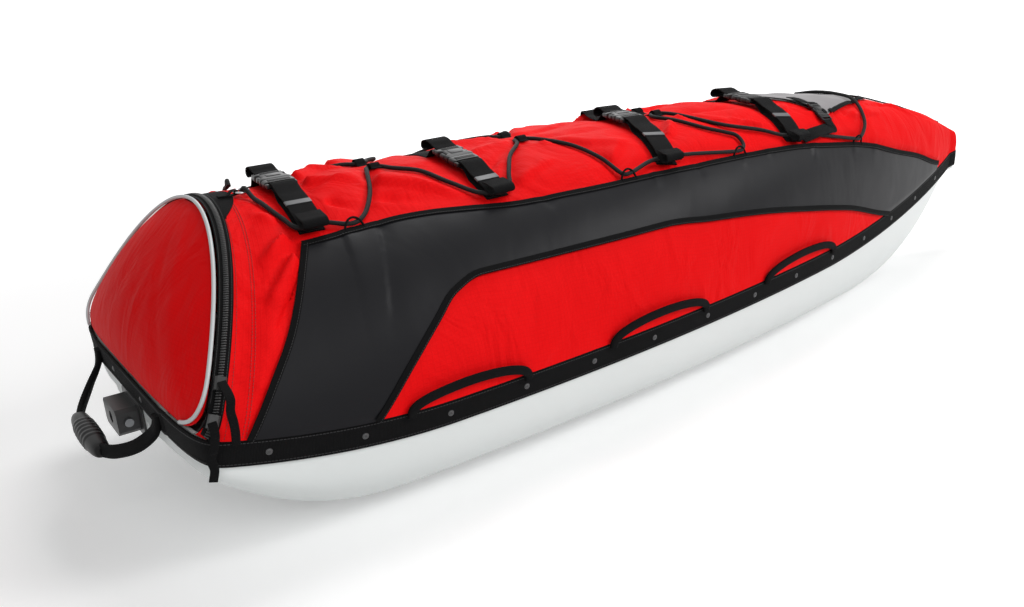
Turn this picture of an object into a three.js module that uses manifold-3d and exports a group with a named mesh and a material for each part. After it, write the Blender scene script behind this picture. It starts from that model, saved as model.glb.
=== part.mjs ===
// Pulk sled: a moulded hull that glides on snow, with a packed, zipped and laced fabric cover.
// Millimetres, +Z up, +X towards the bow. The origin lies on the ground under the middle of the part's length.
// Stations run from 0 at the stern to the hull's length at the bow, and -Y is starboard.

import * as THREE from 'three';
import { mergeGeometries, mergeVertices } from 'three/addons/utils/BufferGeometryUtils.js';
import Module from 'manifold-3d';

const wasm = await Module();
wasm.setup();

// Hull
const length = 1680;
const half_beam = 265;
const rim_height = 112;
const hull_wall = 4;
const load_gap = 6;
const stern_corner = 40;
const stern_corner_start = 1.5;
const stem_half_width = 9;
const stern_rise = 47;
const bow_rise = 54;
const stern_kick = 134;
const bow_kick = 212;
const keel_lip = 8;
const runner_depth = 6;
const taper_start_share = 0.15;
const taper_power_share = 0.96;
const corner_power_share = 4;
const section_power_share = 3;
const stern_rise_share = 0.19;
const bow_rise_share = 0.65;
const stern_kick_share = 0.155;
const bow_kick_share = 0.72;
const hull_ring_shares = [1, 0.985, 0.94, 0.85, 0.72, 0.6, 0.56, 0.44, 0.4, 0];
const corner_shares = [0.4, 0.75, 1];
const runner_share = 0.5;
const runner_width_share = 0.16;
const pad_width = 112;
const pad_depth = 26;

// Webbing band riveted round the rim
const band_width = 31;
const band_thickness = 3;
const band_flare = 5;
const rivet_pitch = 114;
const rivet_first = 77;
const rivet_radius = 4.2;
const rivet_head = 1.6;

// Cover
const crown_height = 386;
const crown_fall = 150;
const crown_fall_share = 0.5;
const crown_power_share = 2.6;
const cover_wall = 4;
const side_power_shares = [1.85, 3.3];
const top_power_shares = [1.3, 4];
const arch_foot = 4;
const arch_slope_share = 0.57;
const arch_fade = 320;
const clearance = 0.4;
const overlay_lift = 1;
const seat_gap = 0.3;

// Side panels: the cut of the coated fabric, as shares of the length and of the cover's height
const panel_thickness = 1.6;
const panel_lift = 1.7;
const panel_top_shares = [
  [0.117, 0.8], [0.2, 0.83], [0.3, 0.79], [0.45, 0.78], [0.6, 0.75],
  [0.67, 0.71], [0.73, 0.66], [0.8, 0.54], [0.86, 0.42], [0.93, 0.14],
];
const panel_aft_shares = [[0.034, 0.02], [0.06, 0.26], [0.08, 0.44], [0.107, 0.71]];
const panel_insert_shares = [
  [0.123, 0.02], [0.155, 0.22], [0.186, 0.4], [0.206, 0.5], [0.232, 0.55], [0.414, 0.54],
  [0.468, 0.5], [0.53, 0.45], [0.6, 0.37], [0.685, 0.25], [0.78, 0.02],
];
const binding_width = 9;
const binding_thickness = 1.2;

// Stern flap, zip and label patch
const flap_thickness = 4;
const flap_bulge = 34;
const flap_gap = 5;
const piping_radius = 2.4;
const piping_lift = 0.8;
const piping_start_share = 0.07;
const arch_start = 0.035;
const arch_crowding = 0.1;
const tape_start = 3;
const tape_width = 17;
const tape_thickness = 1.1;
const coil_width = 6;
const coil_height = 2.4;
const patch_length = 26;
const patch_thickness = 1.2;
const patch_half_share = 0.27;
const slider_width = 13;
const slider_length = 15;
const slider_height = 7;
const slider_wall = 2;
const slider_seat = 0.8;
const slider_shares = [0.14, 0.27];
const tab_width = 10;
const tab_length = 64;
const tab_thickness = 2;
const tab_standoff = 2.2;
const tab_lean = 10;

// Straps and side-release buckles
const strap_edge_station_shares = [0.1275, 0.278, 0.449, 0.6155];
const strap_ridge_station_shares = [0.133, 0.279, 0.476, 0.6275];
const buckle_middle_shares = [0.06, 0.25, 0.105, 0.15];
const strap_width = 33;
const strap_thickness = 1.8;
const tape_lift = 1.6;
const coil_lift = 1.1;
const strap_lift = 1.4;
const strap_tail_lift = 12;
const strap_end_radius = 6;
const strap_edge_share = 0.04;
const buckle_width = 46;
const buckle_height = 11;
const buckle_wall = 2.2;
const socket_length = 46;
const plug_length = 24;
const plug_arm_length = 33;
const plug_arm_width = 5;
const plug_tongue_width = 8;
const window_length = 18;
const window_start = 9;
const webbing_slot_height = 3.2;
const webbing_slot_depth = 9;
const webbing_entry = 7;
const buckle_lift = 2.2;
const buckle_release = 26;
const hood_buckle_share = 0.62;
const hood_strap_width = 20;
const hood_strap_station_share = 0.679;
const hood_buckle_across_share = -0.66;
const hood_strap_reach = 34;
const hood_strap_drop = 22;

// Bow hood
const hood_thickness = 1.4;
const hood_corner_share = 0.67;
const hood_aft_share = 0.649;
const hood_corner_station_share = 0.685;
const hood_tip_share = 0.818;
const hood_power_share = 2.6;

// Lacing
const cord_radius = 3;
const cord_lift = 4.4;
const edge_cord_lift = 7;
const edge_cord_height = 10;
const strap_cord_lift = 6.7;
const strap_cord_height = 24;
const tab_strip_width = 15;
const tab_strip_thickness = 1.4;
const loop_clear = 1.1;
const edge_loop_shares = [0.1565, 0.4, 0.5325, 0.7155];
const edge_loop_width = 9;
const ridge_tab_shares = [0.2125, 0.3555, 0.511];
const ridge_tab_reach = 38;
const ridge_tab_slope = 3;
const ring_radius = 9;
const ring_bar_radius = 1.8;
const ring_standoff = 36.51748;
const strap_ring_standoff = 51.408;
const ring_across_share = -0.084;
const ring_lift = 6;
const ring_webbing_width = 8;
const ring_webbing_slack = 1.3;
const ring_webbing_thickness = 1.2;
const ring_webbing_length = 22;

// The cord's route from the stern ring forwards: station share, share of the half beam, lift in cord lifts
const open_cord = 'open';
const edge_cord = 'edge';
const strap_cord = 'strap';
const ridge_cord = 'ridge';
const cord_route = [
  [open_cord, 0.1024, -0.085, 1.4], [open_cord, 0.1033, -0.112, 2.8], [open_cord, 0.1043, -0.14, 2.1],
  [open_cord, 0.1056, -0.175, 1.1], [open_cord, 0.1077, -0.25, 1], [open_cord, 0.113, -0.385, 1.1],
  [strap_cord, 0.1185], [strap_cord, 0.137], [edge_cord, 0.1565],
  [open_cord, 0.17, -0.49, 1.2], [open_cord, 0.186, -0.36, 1], [open_cord, 0.2015, -0.15, 1.1],
  [ridge_cord, 0.2125], [open_cord, 0.2235, -0.15, 1.1], [open_cord, 0.239, -0.25, 1],
  [open_cord, 0.25, -0.43, 1.1], [strap_cord, 0.266], [strap_cord, 0.288],
  [open_cord, 0.303, -0.46, 1.1], [open_cord, 0.321, -0.31, 1], [open_cord, 0.3445, -0.16, 1.1],
  [ridge_cord, 0.3555], [open_cord, 0.3665, -0.16, 1.1], [open_cord, 0.3815, -0.36, 1],
  [open_cord, 0.39, -0.54, 1.2], [edge_cord, 0.4], [strap_cord, 0.434], [strap_cord, 0.466],
  [edge_cord, 0.5325], [open_cord, 0.5445, -0.72, 1.3], [open_cord, 0.5455, -0.65, 1.2],
  [open_cord, 0.537, -0.6, 1.2], [open_cord, 0.523, -0.52, 1.1], [open_cord, 0.507, -0.32, 1],
  [open_cord, 0.5, -0.19, 1.1], [ridge_cord, 0.511], [open_cord, 0.522, -0.19, 1.1],
  [open_cord, 0.5458, -0.53, 1.1], [open_cord, 0.58, -0.66, 1.2], [strap_cord, 0.603], [strap_cord, 0.627],
  [edge_cord, 0.7155], [open_cord, 0.744, -0.79, 1.5], [open_cord, 0.762, -0.49, 2],
];
const cord_end_route = [
  [open_cord, 0.7665, -0.18, 2], [open_cord, 0.7665, 0.18, 2], [open_cord, 0.762, 0.46, 2],
];
const cord_steps = 84;
const apex_offset = 22;
const apex_half_run = 9;
const edge_half_run = 6;

// Side grab handles
const handle_shares = [[0.149, 0.25], [0.336, 0.448], [0.536, 0.653]];
const handle_height = 27;
const handle_width = 12;
const handle_thickness = 6;
const handle_standoff = 5;

// Stern carry handle
const carry_anchor = 142;
const carry_reach = 52;
const carry_drop = 52;
const carry_width = 16;
const carry_thickness = 2.4;
const grip_length = 108;
const grip_radius = 12;
const grip_rib = 2;
const grip_rib_count = 5;
const grip_bore_margin = 0.6;

// Socket bracket in the middle of the stern
const bracket_width = 92;
const bracket_height = 44;
const bracket_plate = 3;
const bracket_box_width = 66;
const bracket_box_depth = 27;
const bracket_box_height = 34;
const bracket_bore = 16;
const bracket_bevel = 5;
const bracket_wall = 4;
const bracket_pin_radius = 3.2;
const bracket_pin_head = 5.5;
const bracket_pin_head_height = 4;

const half_length = length / 2;
const probe = length / 4000;
const probe_angle = 0.004;
const quarter_turn = Math.PI / 2;

// Materials
function finish(color, roughness, metalness = 0) {
  return new THREE.MeshStandardMaterial({ color, roughness, metalness });
}
const white_shell = () => finish(0xe8ebea, 0.35);
const red_nylon = () => finish(0xdd1417, 0.8);
const coated_black = () => finish(0x2b2b2f, 0.45);
const black_webbing = () => finish(0x161617, 0.85);
const black_moulding = () => finish(0x19191b, 0.4);
const grey_coated = () => finish(0x4a4b4e, 0.5);
const reflective = () => finish(0xc9cbcc, 0.4);
const steel = () => finish(0xa9abad, 0.3, 0.9);
const load_fabric = () => finish(0x6c7074, 0.9);

const parts = new THREE.Group();

function add(name, geometry, material) {
  const mesh = new THREE.Mesh(geometry, material);
  mesh.name = name;
  parts.add(mesh);
  return mesh;
}

// Closed solids from grids of points

function bare(geometry) {
  const copy = geometry.index ? geometry.toNonIndexed() : geometry.clone();
  for (const attribute of ['normal', 'uv', 'uv1', 'color']) {
    copy.deleteAttribute(attribute);
  }
  return mergeVertices(copy, 1e-4);
}

function volumeOf(geometry) {
  const position = geometry.attributes.position;
  const index = geometry.index.array;
  const [a, b, c] = [new THREE.Vector3(), new THREE.Vector3(), new THREE.Vector3()];
  let total = 0;
  for (let i = 0; i < index.length; i += 3) {
    a.fromBufferAttribute(position, index[i]);
    b.fromBufferAttribute(position, index[i + 1]);
    c.fromBufferAttribute(position, index[i + 2]);
    total += a.dot(b.cross(c)) / 6;
  }
  return total;
}

function solidFromTriangles(corners) {
  const flat = new Float32Array(corners.length * 3);
  corners.forEach((corner, i) => corner.toArray(flat, i * 3));
  const soup = new THREE.BufferGeometry();
  soup.setAttribute('position', new THREE.BufferAttribute(flat, 3));
  const merged = mergeVertices(soup, 1e-4);
  const kept = [];
  const index = merged.index.array;
  for (let i = 0; i < index.length; i += 3) {
    const [a, b, c] = [index[i], index[i + 1], index[i + 2]];
    if (a !== b && b !== c && a !== c) {
      kept.push(a, b, c);
    }
  }
  merged.setIndex(kept);
  if (volumeOf(merged) < 0) {
    for (let i = 0; i < kept.length; i += 3) {
      [kept[i + 1], kept[i + 2]] = [kept[i + 2], kept[i + 1]];
    }
    merged.setIndex(kept);
  }
  return merged;
}

function quad(corners, a, b, c, d) {
  corners.push(a, b, c, a, c, d);
}

function gridFaces(corners, rows, flipped, closed_rows, closed_columns) {
  const row_count = closed_rows ? rows.length : rows.length - 1;
  for (let i = 0; i < row_count; i += 1) {
    const near = rows[i];
    const far = rows[(i + 1) % rows.length];
    const column_count = closed_columns ? near.length : near.length - 1;
    for (let j = 0; j < column_count; j += 1) {
      const next = (j + 1) % near.length;
      if (flipped) {
        quad(corners, near[j], near[next], far[next], far[j]);
      } else {
        quad(corners, near[j], far[j], far[next], near[next]);
      }
    }
  }
}

function slab(outer, inner) {
  const corners = [];
  gridFaces(corners, outer, false, false, false);
  gridFaces(corners, inner, true, false, false);
  const last_row = outer.length - 1;
  const last_column = outer[0].length - 1;
  for (let j = 0; j < last_column; j += 1) {
    quad(corners, outer[0][j], outer[0][j + 1], inner[0][j + 1], inner[0][j]);
    quad(corners, outer[last_row][j + 1], outer[last_row][j], inner[last_row][j], inner[last_row][j + 1]);
  }
  for (let i = 0; i < last_row; i += 1) {
    quad(corners, outer[i + 1][0], outer[i][0], inner[i][0], inner[i + 1][0]);
    quad(
      corners, outer[i][last_column], outer[i + 1][last_column], inner[i + 1][last_column], inner[i][last_column],
    );
  }
  return solidFromTriangles(corners);
}

function loft(rings) {
  const corners = [];
  gridFaces(corners, rings, false, false, true);
  for (const [ring, flipped] of [[rings[0], true], [rings[rings.length - 1], false]]) {
    const middle = new THREE.Vector3();
    ring.forEach((point) => middle.add(point));
    middle.divideScalar(ring.length);
    for (let j = 0; j < ring.length; j += 1) {
      const next = ring[(j + 1) % ring.length];
      corners.push(middle, ...(flipped ? [ring[j], next] : [next, ring[j]]));
    }
  }
  return solidFromTriangles(corners);
}

function loopSolid(rings) {
  const corners = [];
  gridFaces(corners, rings, false, true, true);
  return solidFromTriangles(corners);
}

function ribbon(points, sides, width, thickness, closed = false) {
  const count = points.length;
  const rings = points.map((point, i) => {
    const before = points[closed ? (i + count - 1) % count : Math.max(i - 1, 0)];
    const after = points[closed ? (i + 1) % count : Math.min(i + 1, count - 1)];
    const side = sides[i].clone().normalize();
    const up = side.clone().cross(after.clone().sub(before)).normalize();
    const corner = (s, t) => point.clone().addScaledVector(side, s * width / 2).addScaledVector(up, t * thickness / 2);
    return [corner(-1, -1), corner(1, -1), corner(1, 1), corner(-1, 1)];
  });
  return closed ? loopSolid(rings) : loft(rings);
}

// Booleans

function toManifold(geometry) {
  const merged = bare(geometry);
  const mesh = new wasm.Mesh({
    numProp: 3,
    vertProperties: new Float32Array(merged.attributes.position.array),
    triVerts: new Uint32Array(merged.index.array),
  });
  return new wasm.Manifold(mesh);
}

function fromManifold(solid) {
  const mesh = solid.getMesh();
  const geometry = new THREE.BufferGeometry();
  geometry.setAttribute('position', new THREE.BufferAttribute(new Float32Array(mesh.vertProperties), 3));
  geometry.setIndex([...mesh.triVerts]);
  return geometry;
}

function joined(first, ...others) {
  return fromManifold(others.reduce((solid, other) => solid.add(toManifold(other)), toManifold(first)));
}

function cut(first, ...others) {
  return fromManifold(others.reduce((solid, other) => solid.subtract(toManifold(other)), toManifold(first)));
}

// Lines of the hull, by station

const clamp01 = THREE.MathUtils.clamp;
const unit = (value) => clamp01(value, 0, 1);

function halfWidth(station) {
  const share = station / length;
  const taper = unit((share - taper_start_share) / (1 - taper_start_share));
  const body = half_beam * (1 - taper ** 2) ** taper_power_share;
  const from_stern = Math.max(station, stern_corner_start);
  const corner = unit((stern_corner - from_stern) / stern_corner);
  const rounded = body * (1 - corner ** corner_power_share) ** (1 / corner_power_share);
  return Math.max(rounded, stem_half_width);
}

function sheer(station) {
  const share = station / length;
  const aft = unit((stern_rise_share - share) / stern_rise_share);
  const fore = unit((share - bow_rise_share) / (1 - bow_rise_share));
  return rim_height + stern_rise * aft ** 2 + bow_rise * fore ** 1.6;
}

function keel(station) {
  const share = station / length;
  const aft = unit((stern_kick_share - share) / stern_kick_share);
  const fore = unit((share - bow_kick_share) / (1 - bow_kick_share));
  const bottom = stern_kick * aft ** 2.35 + bow_kick * fore ** 2.5;
  return Math.min(bottom, sheer(station) - keel_lip);
}

const rimTop = (station) => sheer(station) + band_width;

function crown(station) {
  const fall = unit((station / length - crown_fall_share) / (1 - crown_fall_share));
  return crown_height - crown_fall * fall ** crown_power_share;
}

function lengthwise(station) {
  return station - half_length;
}

// Cover surface: angle 0 at the starboard rim, a quarter turn at the ridge, a half turn at the port rim

function coverPoint(station, angle) {
  const share = unit(station / length);
  const side_power = THREE.MathUtils.lerp(side_power_shares[0], side_power_shares[1], share);
  const top_power = THREE.MathUtils.lerp(top_power_shares[0], top_power_shares[1], share);
  const cosine = Math.cos(angle);
  const sine = Math.max(Math.sin(angle), 0);
  const half = halfWidth(station) + band_flare;
  const across = -Math.sign(cosine) * half * Math.abs(cosine) ** (2 / side_power);
  const base = rimTop(station);
  return new THREE.Vector3(
    lengthwise(station), across, base + (crown(station) - base) * sine ** (2 / top_power),
  );
}

function coverNormal(station, angle) {
  const aft = coverPoint(station - probe, angle);
  const fore = coverPoint(station + probe, angle);
  const low = coverPoint(station, Math.max(angle - probe_angle, 0));
  const high = coverPoint(station, Math.min(angle + probe_angle, Math.PI));
  return fore.sub(aft).cross(high.sub(low)).normalize();
}

function onCover(station, angle, lift = 0) {
  return coverPoint(station, angle).addScaledVector(coverNormal(station, angle), lift);
}

function angleAtHeight(station, height_share) {
  const top_power = THREE.MathUtils.lerp(top_power_shares[0], top_power_shares[1], unit(station / length));
  return Math.asin(unit(height_share) ** (top_power / 2));
}

function angleAtAcross(station, across_share) {
  const side_power = THREE.MathUtils.lerp(side_power_shares[0], side_power_shares[1], unit(station / length));
  const angle = Math.acos(Math.min(Math.abs(across_share), 1) ** (side_power / 2));
  return across_share <= 0 ? angle : Math.PI - angle;
}

// The zip's arch is a plane that leans forward; stations behind it fade back to upright

function archStation(start, angle) {
  const slope = arch_slope_share * (1 - unit((start - arch_foot) / arch_fade));
  let station = start;
  for (let pass = 0; pass < 8; pass += 1) {
    station = start + slope * (coverPoint(station, angle).z - rimTop(start));
  }
  return station;
}

function along(table, at) {
  const last = table.length - 1;
  const i = Math.min(Math.max(table.findIndex(([x]) => x >= at), 1), table[last][0] < at ? last : last);
  const [x0, y0] = table[i - 1];
  const [x1, y1] = table[i];
  return y0 + (y1 - y0) * unit((at - x0) / (x1 - x0));
}

function spread(start, end, count) {
  return Array.from({ length: count + 1 }, (_, i) => start + (end - start) * i / count);
}

// Hull

function rimStations() {
  const corner = corner_shares.map((share) => share * stern_corner);
  const aft = spread(stern_corner, length * stern_rise_share, 4).slice(1);
  const middle = spread(length * stern_rise_share, length * bow_rise_share, 6).slice(1);
  const bow = spread(length * bow_rise_share, length, 12).slice(1);
  return [0, arch_foot + flap_gap, ...corner, ...aft, ...middle, ...bow];
}

function hullRing(station, inset) {
  const half = Math.min(halfWidth(station - inset), halfWidth(station + inset)) - inset;
  const top = rimTop(station);
  const runner_top = Math.min(runner_depth, (top - keel(station)) / 4);
  const bottom = keel(station) + inset;
  const side = hull_ring_shares.map((share) => {
    const rise = 1 - (1 - share ** section_power_share) ** (1 / section_power_share);
    const on_runner = Math.abs(share - runner_share) < runner_width_share / 2;
    const raised = share < runner_share + runner_width_share && (inset > 0 || !on_runner);
    const sloped = bottom + (sheer(station) - bottom) * rise;
    const height = Math.max(sloped, bottom + (raised ? runner_top : 0));
    return [share * half, on_runner && inset === 0 ? bottom : height];
  });
  const starboard = [[half, top], ...side].map(([y, z]) => new THREE.Vector3(lengthwise(station), -y, z));
  const port = [[half, top], ...side.slice(0, -1)]
    .reverse()
    .map(([y, z]) => new THREE.Vector3(lengthwise(station), y, z));
  return [...starboard, ...port];
}

function hullSkin(stations, inset) {
  const rings = stations.map((station) => hullRing(station, inset));
  const closing = (ring, station) => ring.map((point) => new THREE.Vector3(point.x, point.y, rimTop(station)));
  const first = closing(rings[0], stations[0]);
  const last = closing(rings[rings.length - 1], stations[stations.length - 1]);
  return [first, ...rings, last];
}

function hull() {
  const outer_stations = rimStations();
  const inner_stations = outer_stations.map((station) => clamp01(station, hull_wall, length - hull_wall));
  inner_stations[1] = (outer_stations[1] + outer_stations[2]) / 2;
  const outer = hullSkin(outer_stations, 0);
  const inner = hullSkin(inner_stations, hull_wall);
  return joined(slab(outer, inner), transomPad());
}

// Flat moulded pad that carries the socket bracket
function transomPad() {
  const pad = new THREE.ExtrudeGeometry(
    bevelledOutline(pad_width, bracket_height, bracket_bevel), { depth: pad_depth, bevelEnabled: false },
  );
  pad.rotateX(quarter_turn);
  pad.rotateZ(quarter_turn);
  pad.translate(lengthwise(0), 0, bracketMiddle());
  return pad;
}

// Band with its rivets

function rimPath() {
  const stations = rimStations();
  const starboard = stations.map((station) => [station, -1]);
  const port = [...stations].reverse().map((station) => [station, 1]);
  return [...starboard, ...port];
}

function rimPoint(station, side, height, offset) {
  const edge = (at) => new THREE.Vector2(lengthwise(at), side * halfWidth(at));
  const here = edge(station);
  const fore = edge(Math.min(station + probe, length));
  const aft = edge(Math.max(station - probe, 0));
  const heading = fore.sub(aft).normalize();
  const out = new THREE.Vector2(side * heading.y * -1, side * heading.x);
  const blunt = station === 0 || station === length;
  const outward = blunt ? new THREE.Vector2(station === 0 ? -1 : 1, side).normalize() : out;
  const lift = offset * (blunt ? Math.SQRT2 : 1);
  return new THREE.Vector3(here.x + outward.x * lift, here.y + outward.y * lift, height);
}

function rimRing(station, side) {
  const low = sheer(station);
  const high = rimTop(station);
  return [
    rimPoint(station, side, low, seat_gap),
    rimPoint(station, side, low, seat_gap + band_thickness),
    rimPoint(station, side, high, band_flare),
    rimPoint(station, side, high, band_flare - band_thickness),
  ];
}

function rivet(point, outward) {
  const profile = [
    [0, -band_thickness / 2], [rivet_radius, -band_thickness / 2], [rivet_radius * 0.6, rivet_head], [0, rivet_head],
  ].map(([x, y]) => new THREE.Vector2(x, y));
  const turned = new THREE.LatheGeometry(profile, 8);
  turned.applyQuaternion(new THREE.Quaternion().setFromUnitVectors(new THREE.Vector3(0, 1, 0), outward));
  turned.translate(point.x, point.y, point.z);
  return turned;
}

function rivetSeats() {
  const seats = [];
  for (let station = rivet_first; station < length * 0.95; station += rivet_pitch) {
    for (const side of [-1, 1]) {
      seats.push([station, side]);
    }
  }
  return seats;
}

function rimBand() {
  const band = loopSolid(rimPath().map(([station, side]) => rimRing(station, side)));
  const rivets = rivetSeats().map(([station, side]) => {
    const ring = rimRing(station, side);
    const point = ring[1].clone().add(ring[2]).divideScalar(2);
    const outward = ring[2].clone().sub(ring[3]).normalize();
    return rivet(point, outward);
  });
  const stern_middle = rimTop(0) - band_width / 2;
  for (const across of [-half_beam * 0.74, -half_beam * 0.25, half_beam * 0.25, half_beam * 0.74]) {
    if (Math.abs(across) < halfWidth(0)) {
      const point = new THREE.Vector3(lengthwise(0) - (band_flare + band_thickness) / 2, across, stern_middle);
      rivets.push(rivet(point, new THREE.Vector3(-1, 0, 0)));
    }
  }
  return joined(band, ...rivets);
}

// Cover body, open at the arch

const section_angles = [0, 0.08, 0.18, 0.28, 0.38, 0.48, 0.58, 0.68, 0.78, 0.88, 1];
const arch_angles = [...section_angles, ...section_angles.slice(0, -1).reverse().map((share) => 2 - share)]
  .map((share) => share * quarter_turn);

function coverRow(start, lift) {
  return arch_angles.map((angle) => {
    const station = archStation(start, angle);
    return onCover(station, angle, lift);
  });
}

function coverBody() {
  const starts = rimStations().slice(1);
  const last = starts[starts.length - 1];
  const closing = (row) => row.map((point) => new THREE.Vector3(point.x, point.y, rimTop(last) + clearance));
  const seat = (row) => {
    row[0].z += clearance;
    row[row.length - 1].z += clearance;
    return row;
  };
  const outer = starts.map((start) => seat(coverRow(start, 0)));
  const inner = starts.map((start) => seat(insideRow(start)));
  return slab([...outer, closing(outer[outer.length - 1])], [...inner, closing(inner[inner.length - 1])]);
}

// The inner face of the cover: the same rows, drawn in towards the middle by the wall

function insideRow(start) {
  return arch_angles.map((angle) => {
    const station = Math.min(archStation(start, angle), length - cover_wall);
    const point = coverPoint(station, angle);
    const base = rimTop(station);
    const half = halfWidth(station) + band_flare;
    const across = point.y * (half - cover_wall) / half;
    const height = base + (point.z - base) * (crown(station) - base - cover_wall) / (crown(station) - base);
    return new THREE.Vector3(point.x, across, height);
  });
}

// Packed load that fills hull and cover

function loadRing(station, inset) {
  const top = arch_angles.slice(1, -1).map((angle) => {
    const point = coverPoint(station, angle);
    const base = rimTop(station);
    const half = halfWidth(station) + band_flare;
    const across = point.y * (half - inset) / half;
    const height = base + (point.z - base) * (crown(station) - base - inset) / (crown(station) - base);
    return new THREE.Vector3(point.x, across, height);
  });
  const half = halfWidth(station) - hull_wall * 2;
  const bottom = keel(station) + hull_wall + load_gap;
  const low = hull_ring_shares.filter((share) => share !== 1 && share !== 0.56 && share !== 0.44 && share !== 0.72);
  const side = low.map((share) => {
    const rise = 1 - (1 - share ** section_power_share) ** (1 / section_power_share);
    const lowest = bottom + runner_depth;
    return [share * half * 0.985, Math.max(lowest, bottom + (sheer(station) - bottom) * rise + clearance)];
  });
  const port = side.map(([y, z]) => new THREE.Vector3(lengthwise(station), y, z));
  const starboard = side.slice(0, -1).reverse().map(([y, z]) => new THREE.Vector3(lengthwise(station), -y, z));
  return [...top, ...port, ...starboard];
}

function packedLoad() {
  const stations = spread(length * 0.1, length * 0.86, 11);
  return loft(stations.map((station) => loadRing(station, cover_wall + load_gap / 2)));
}

// Side panels over the cover, and the tape that binds their edges

function panelSpan(share) {
  const top = share < panel_top_shares[0][0]
    ? along([...panel_aft_shares, panel_top_shares[0]], share)
    : along(panel_top_shares, share);
  const low_start = panel_insert_shares[0][0];
  const low_end = panel_insert_shares[panel_insert_shares.length - 1][0];
  const low = share > low_start && share < low_end ? along(panel_insert_shares, share) : panel_aft_shares[0][1];
  return [low, top];
}

function panelStations() {
  const corners = [...panel_aft_shares, ...panel_top_shares, ...panel_insert_shares].map(([share]) => share);
  const extra = [0.045, 0.07, 0.094, 0.14, 0.17, 0.26, 0.35, 0.38, 0.49, 0.56, 0.64, 0.76, 0.83, 0.9];
  const sorted = [...corners, ...extra].sort((a, b) => a - b);
  return sorted.filter((share, i) => i === 0 || share - sorted[i - 1] > 0.009);
}

function mirrored(geometry) {
  const copy = geometry.clone();
  copy.scale(1, -1, 1);
  const index = [...copy.index.array];
  for (let i = 0; i < index.length; i += 3) {
    [index[i + 1], index[i + 2]] = [index[i + 2], index[i + 1]];
  }
  copy.setIndex(index);
  return copy;
}

function sidePanel() {
  const steps = 7;
  const row = (share, lift) => {
    const station = share * length;
    const [low, top] = panelSpan(share);
    return spread(low, Math.max(top, low + 0.012), steps)
      .map((height) => onCover(station, angleAtHeight(station, height), lift));
  };
  const shares = panelStations();
  return slab(
    shares.map((share) => row(share, panel_lift + panel_thickness)),
    shares.map((share) => row(share, panel_lift)),
  );
}

function panelOutline() {
  const rim = panel_aft_shares[0][1];
  const top = panelStations().map((share) => [share, panelSpan(share)[1]]);
  const insert_end = panel_insert_shares[panel_insert_shares.length - 1][0];
  const bow = [0.9, 0.86, 0.82].map((share) => [share, rim]);
  const insert = spread(insert_end, panel_insert_shares[0][0], 26).map((share) => [share, along(panel_insert_shares, share)]);
  const aft = [0.095, 0.07, 0.05].map((share) => [share, rim]);
  return [...top, ...bow, ...insert, ...aft];
}

const binding_lift = panel_lift + panel_thickness + binding_thickness;

function panelTape() {
  const edge = panelOutline().map(([share, height]) => {
    const station = share * length;
    return [station, angleAtHeight(station, Math.max(height, binding_width / half_beam))];
  });
  const points = edge.map(([station, angle]) => onCover(station, angle, binding_lift));
  const count = points.length;
  const sides = edge.map(([station, angle], i) => {
    const heading = points[(i + 1) % count].clone().sub(points[(i + count - 1) % count]);
    return coverNormal(station, angle).cross(heading).normalize();
  });
  return ribbon(points, sides, binding_width, binding_thickness, true);
}

// Angle of a place on the cover that lies a distance above the panel's top edge
function aboveEdge(share, distance) {
  const station = share * length;
  const edge = angleAtHeight(station, panelSpan(share)[1]);
  const speed = coverPoint(station, edge + probe_angle).distanceTo(coverPoint(station, edge - probe_angle));
  return edge + distance * 2 * probe_angle / speed;
}

// Webbing loop sewn to the tape, with the cord passing under it
function edgeLoop(share) {
  const reach = cord_radius + loop_clear + tab_strip_thickness;
  const rise = edge_cord_lift + cord_radius + loop_clear + tab_strip_thickness / 2;
  const low = overlay_lift + tab_strip_thickness;
  const points = [
    [-reach * 2.4, binding_lift], [-reach * 1.25, binding_lift], [-reach * 0.85, rise * 0.85], [-reach * 0.3, rise],
    [reach * 0.3, rise], [reach * 0.85, rise * 0.75], [reach * 1.2, low], [reach * 2.2, low],
  ].map(([y, z]) => new THREE.Vector3(0, y, z));
  const strip = ribbon(points, points.map(() => new THREE.Vector3(1, 0, 0)), edge_loop_width, tab_strip_thickness);
  return seatOn(strip, share * length, aboveEdge(share, edge_cord_height), 0);
}

function panelBinding() {
  return joined(panelTape(), ...edge_loop_shares.map(edgeLoop));
}

// Stern flap, hinged on the stern band and zipped along the arch

function flapRow(height_share, lift) {
  const shares = [-1, -0.93, -0.8, -0.6, -0.35, 0, 0.35, 0.6, 0.8, 0.93, 1];
  return shares.map((across_share) => {
    const angle = angleAtHeight(arch_foot, height_share);
    const edge = coverPoint(archStation(arch_foot, angle), angle);
    const across = edge.y * across_share * -1 * (1 - lift / half_beam);
    const bulge = flap_bulge * (1 - across_share ** 2) ** 0.8 * Math.sin(Math.PI * height_share ** 0.8) ** 0.8;
    const round = arch_foot * (1 - Math.abs(across_share) ** corner_power_share) * (1 - height_share);
    const lean = Math.hypot(1, arch_slope_share);
    const setback = bulge + round - lift;
    return new THREE.Vector3(
      edge.x - setback / lean, across, edge.z + setback * arch_slope_share / lean - lift * height_share,
    );
  });
}

function sternFlap() {
  const heights = [0.012, 0.1, 0.22, 0.36, 0.5, 0.64, 0.77, 0.88, 0.955, 0.988];
  const outer = heights.map((height) => flapRow(height, 0));
  const inner = heights.map((height) => flapRow(height, flap_thickness));
  return slab(outer, inner);
}

// Places along the arch, closer together towards its feet
function archShares(from, to, count) {
  return spread(0, 1, count).map((t) => from + (to - from) * (t - arch_crowding * Math.sin(4 * quarter_turn * t)));
}

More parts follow.
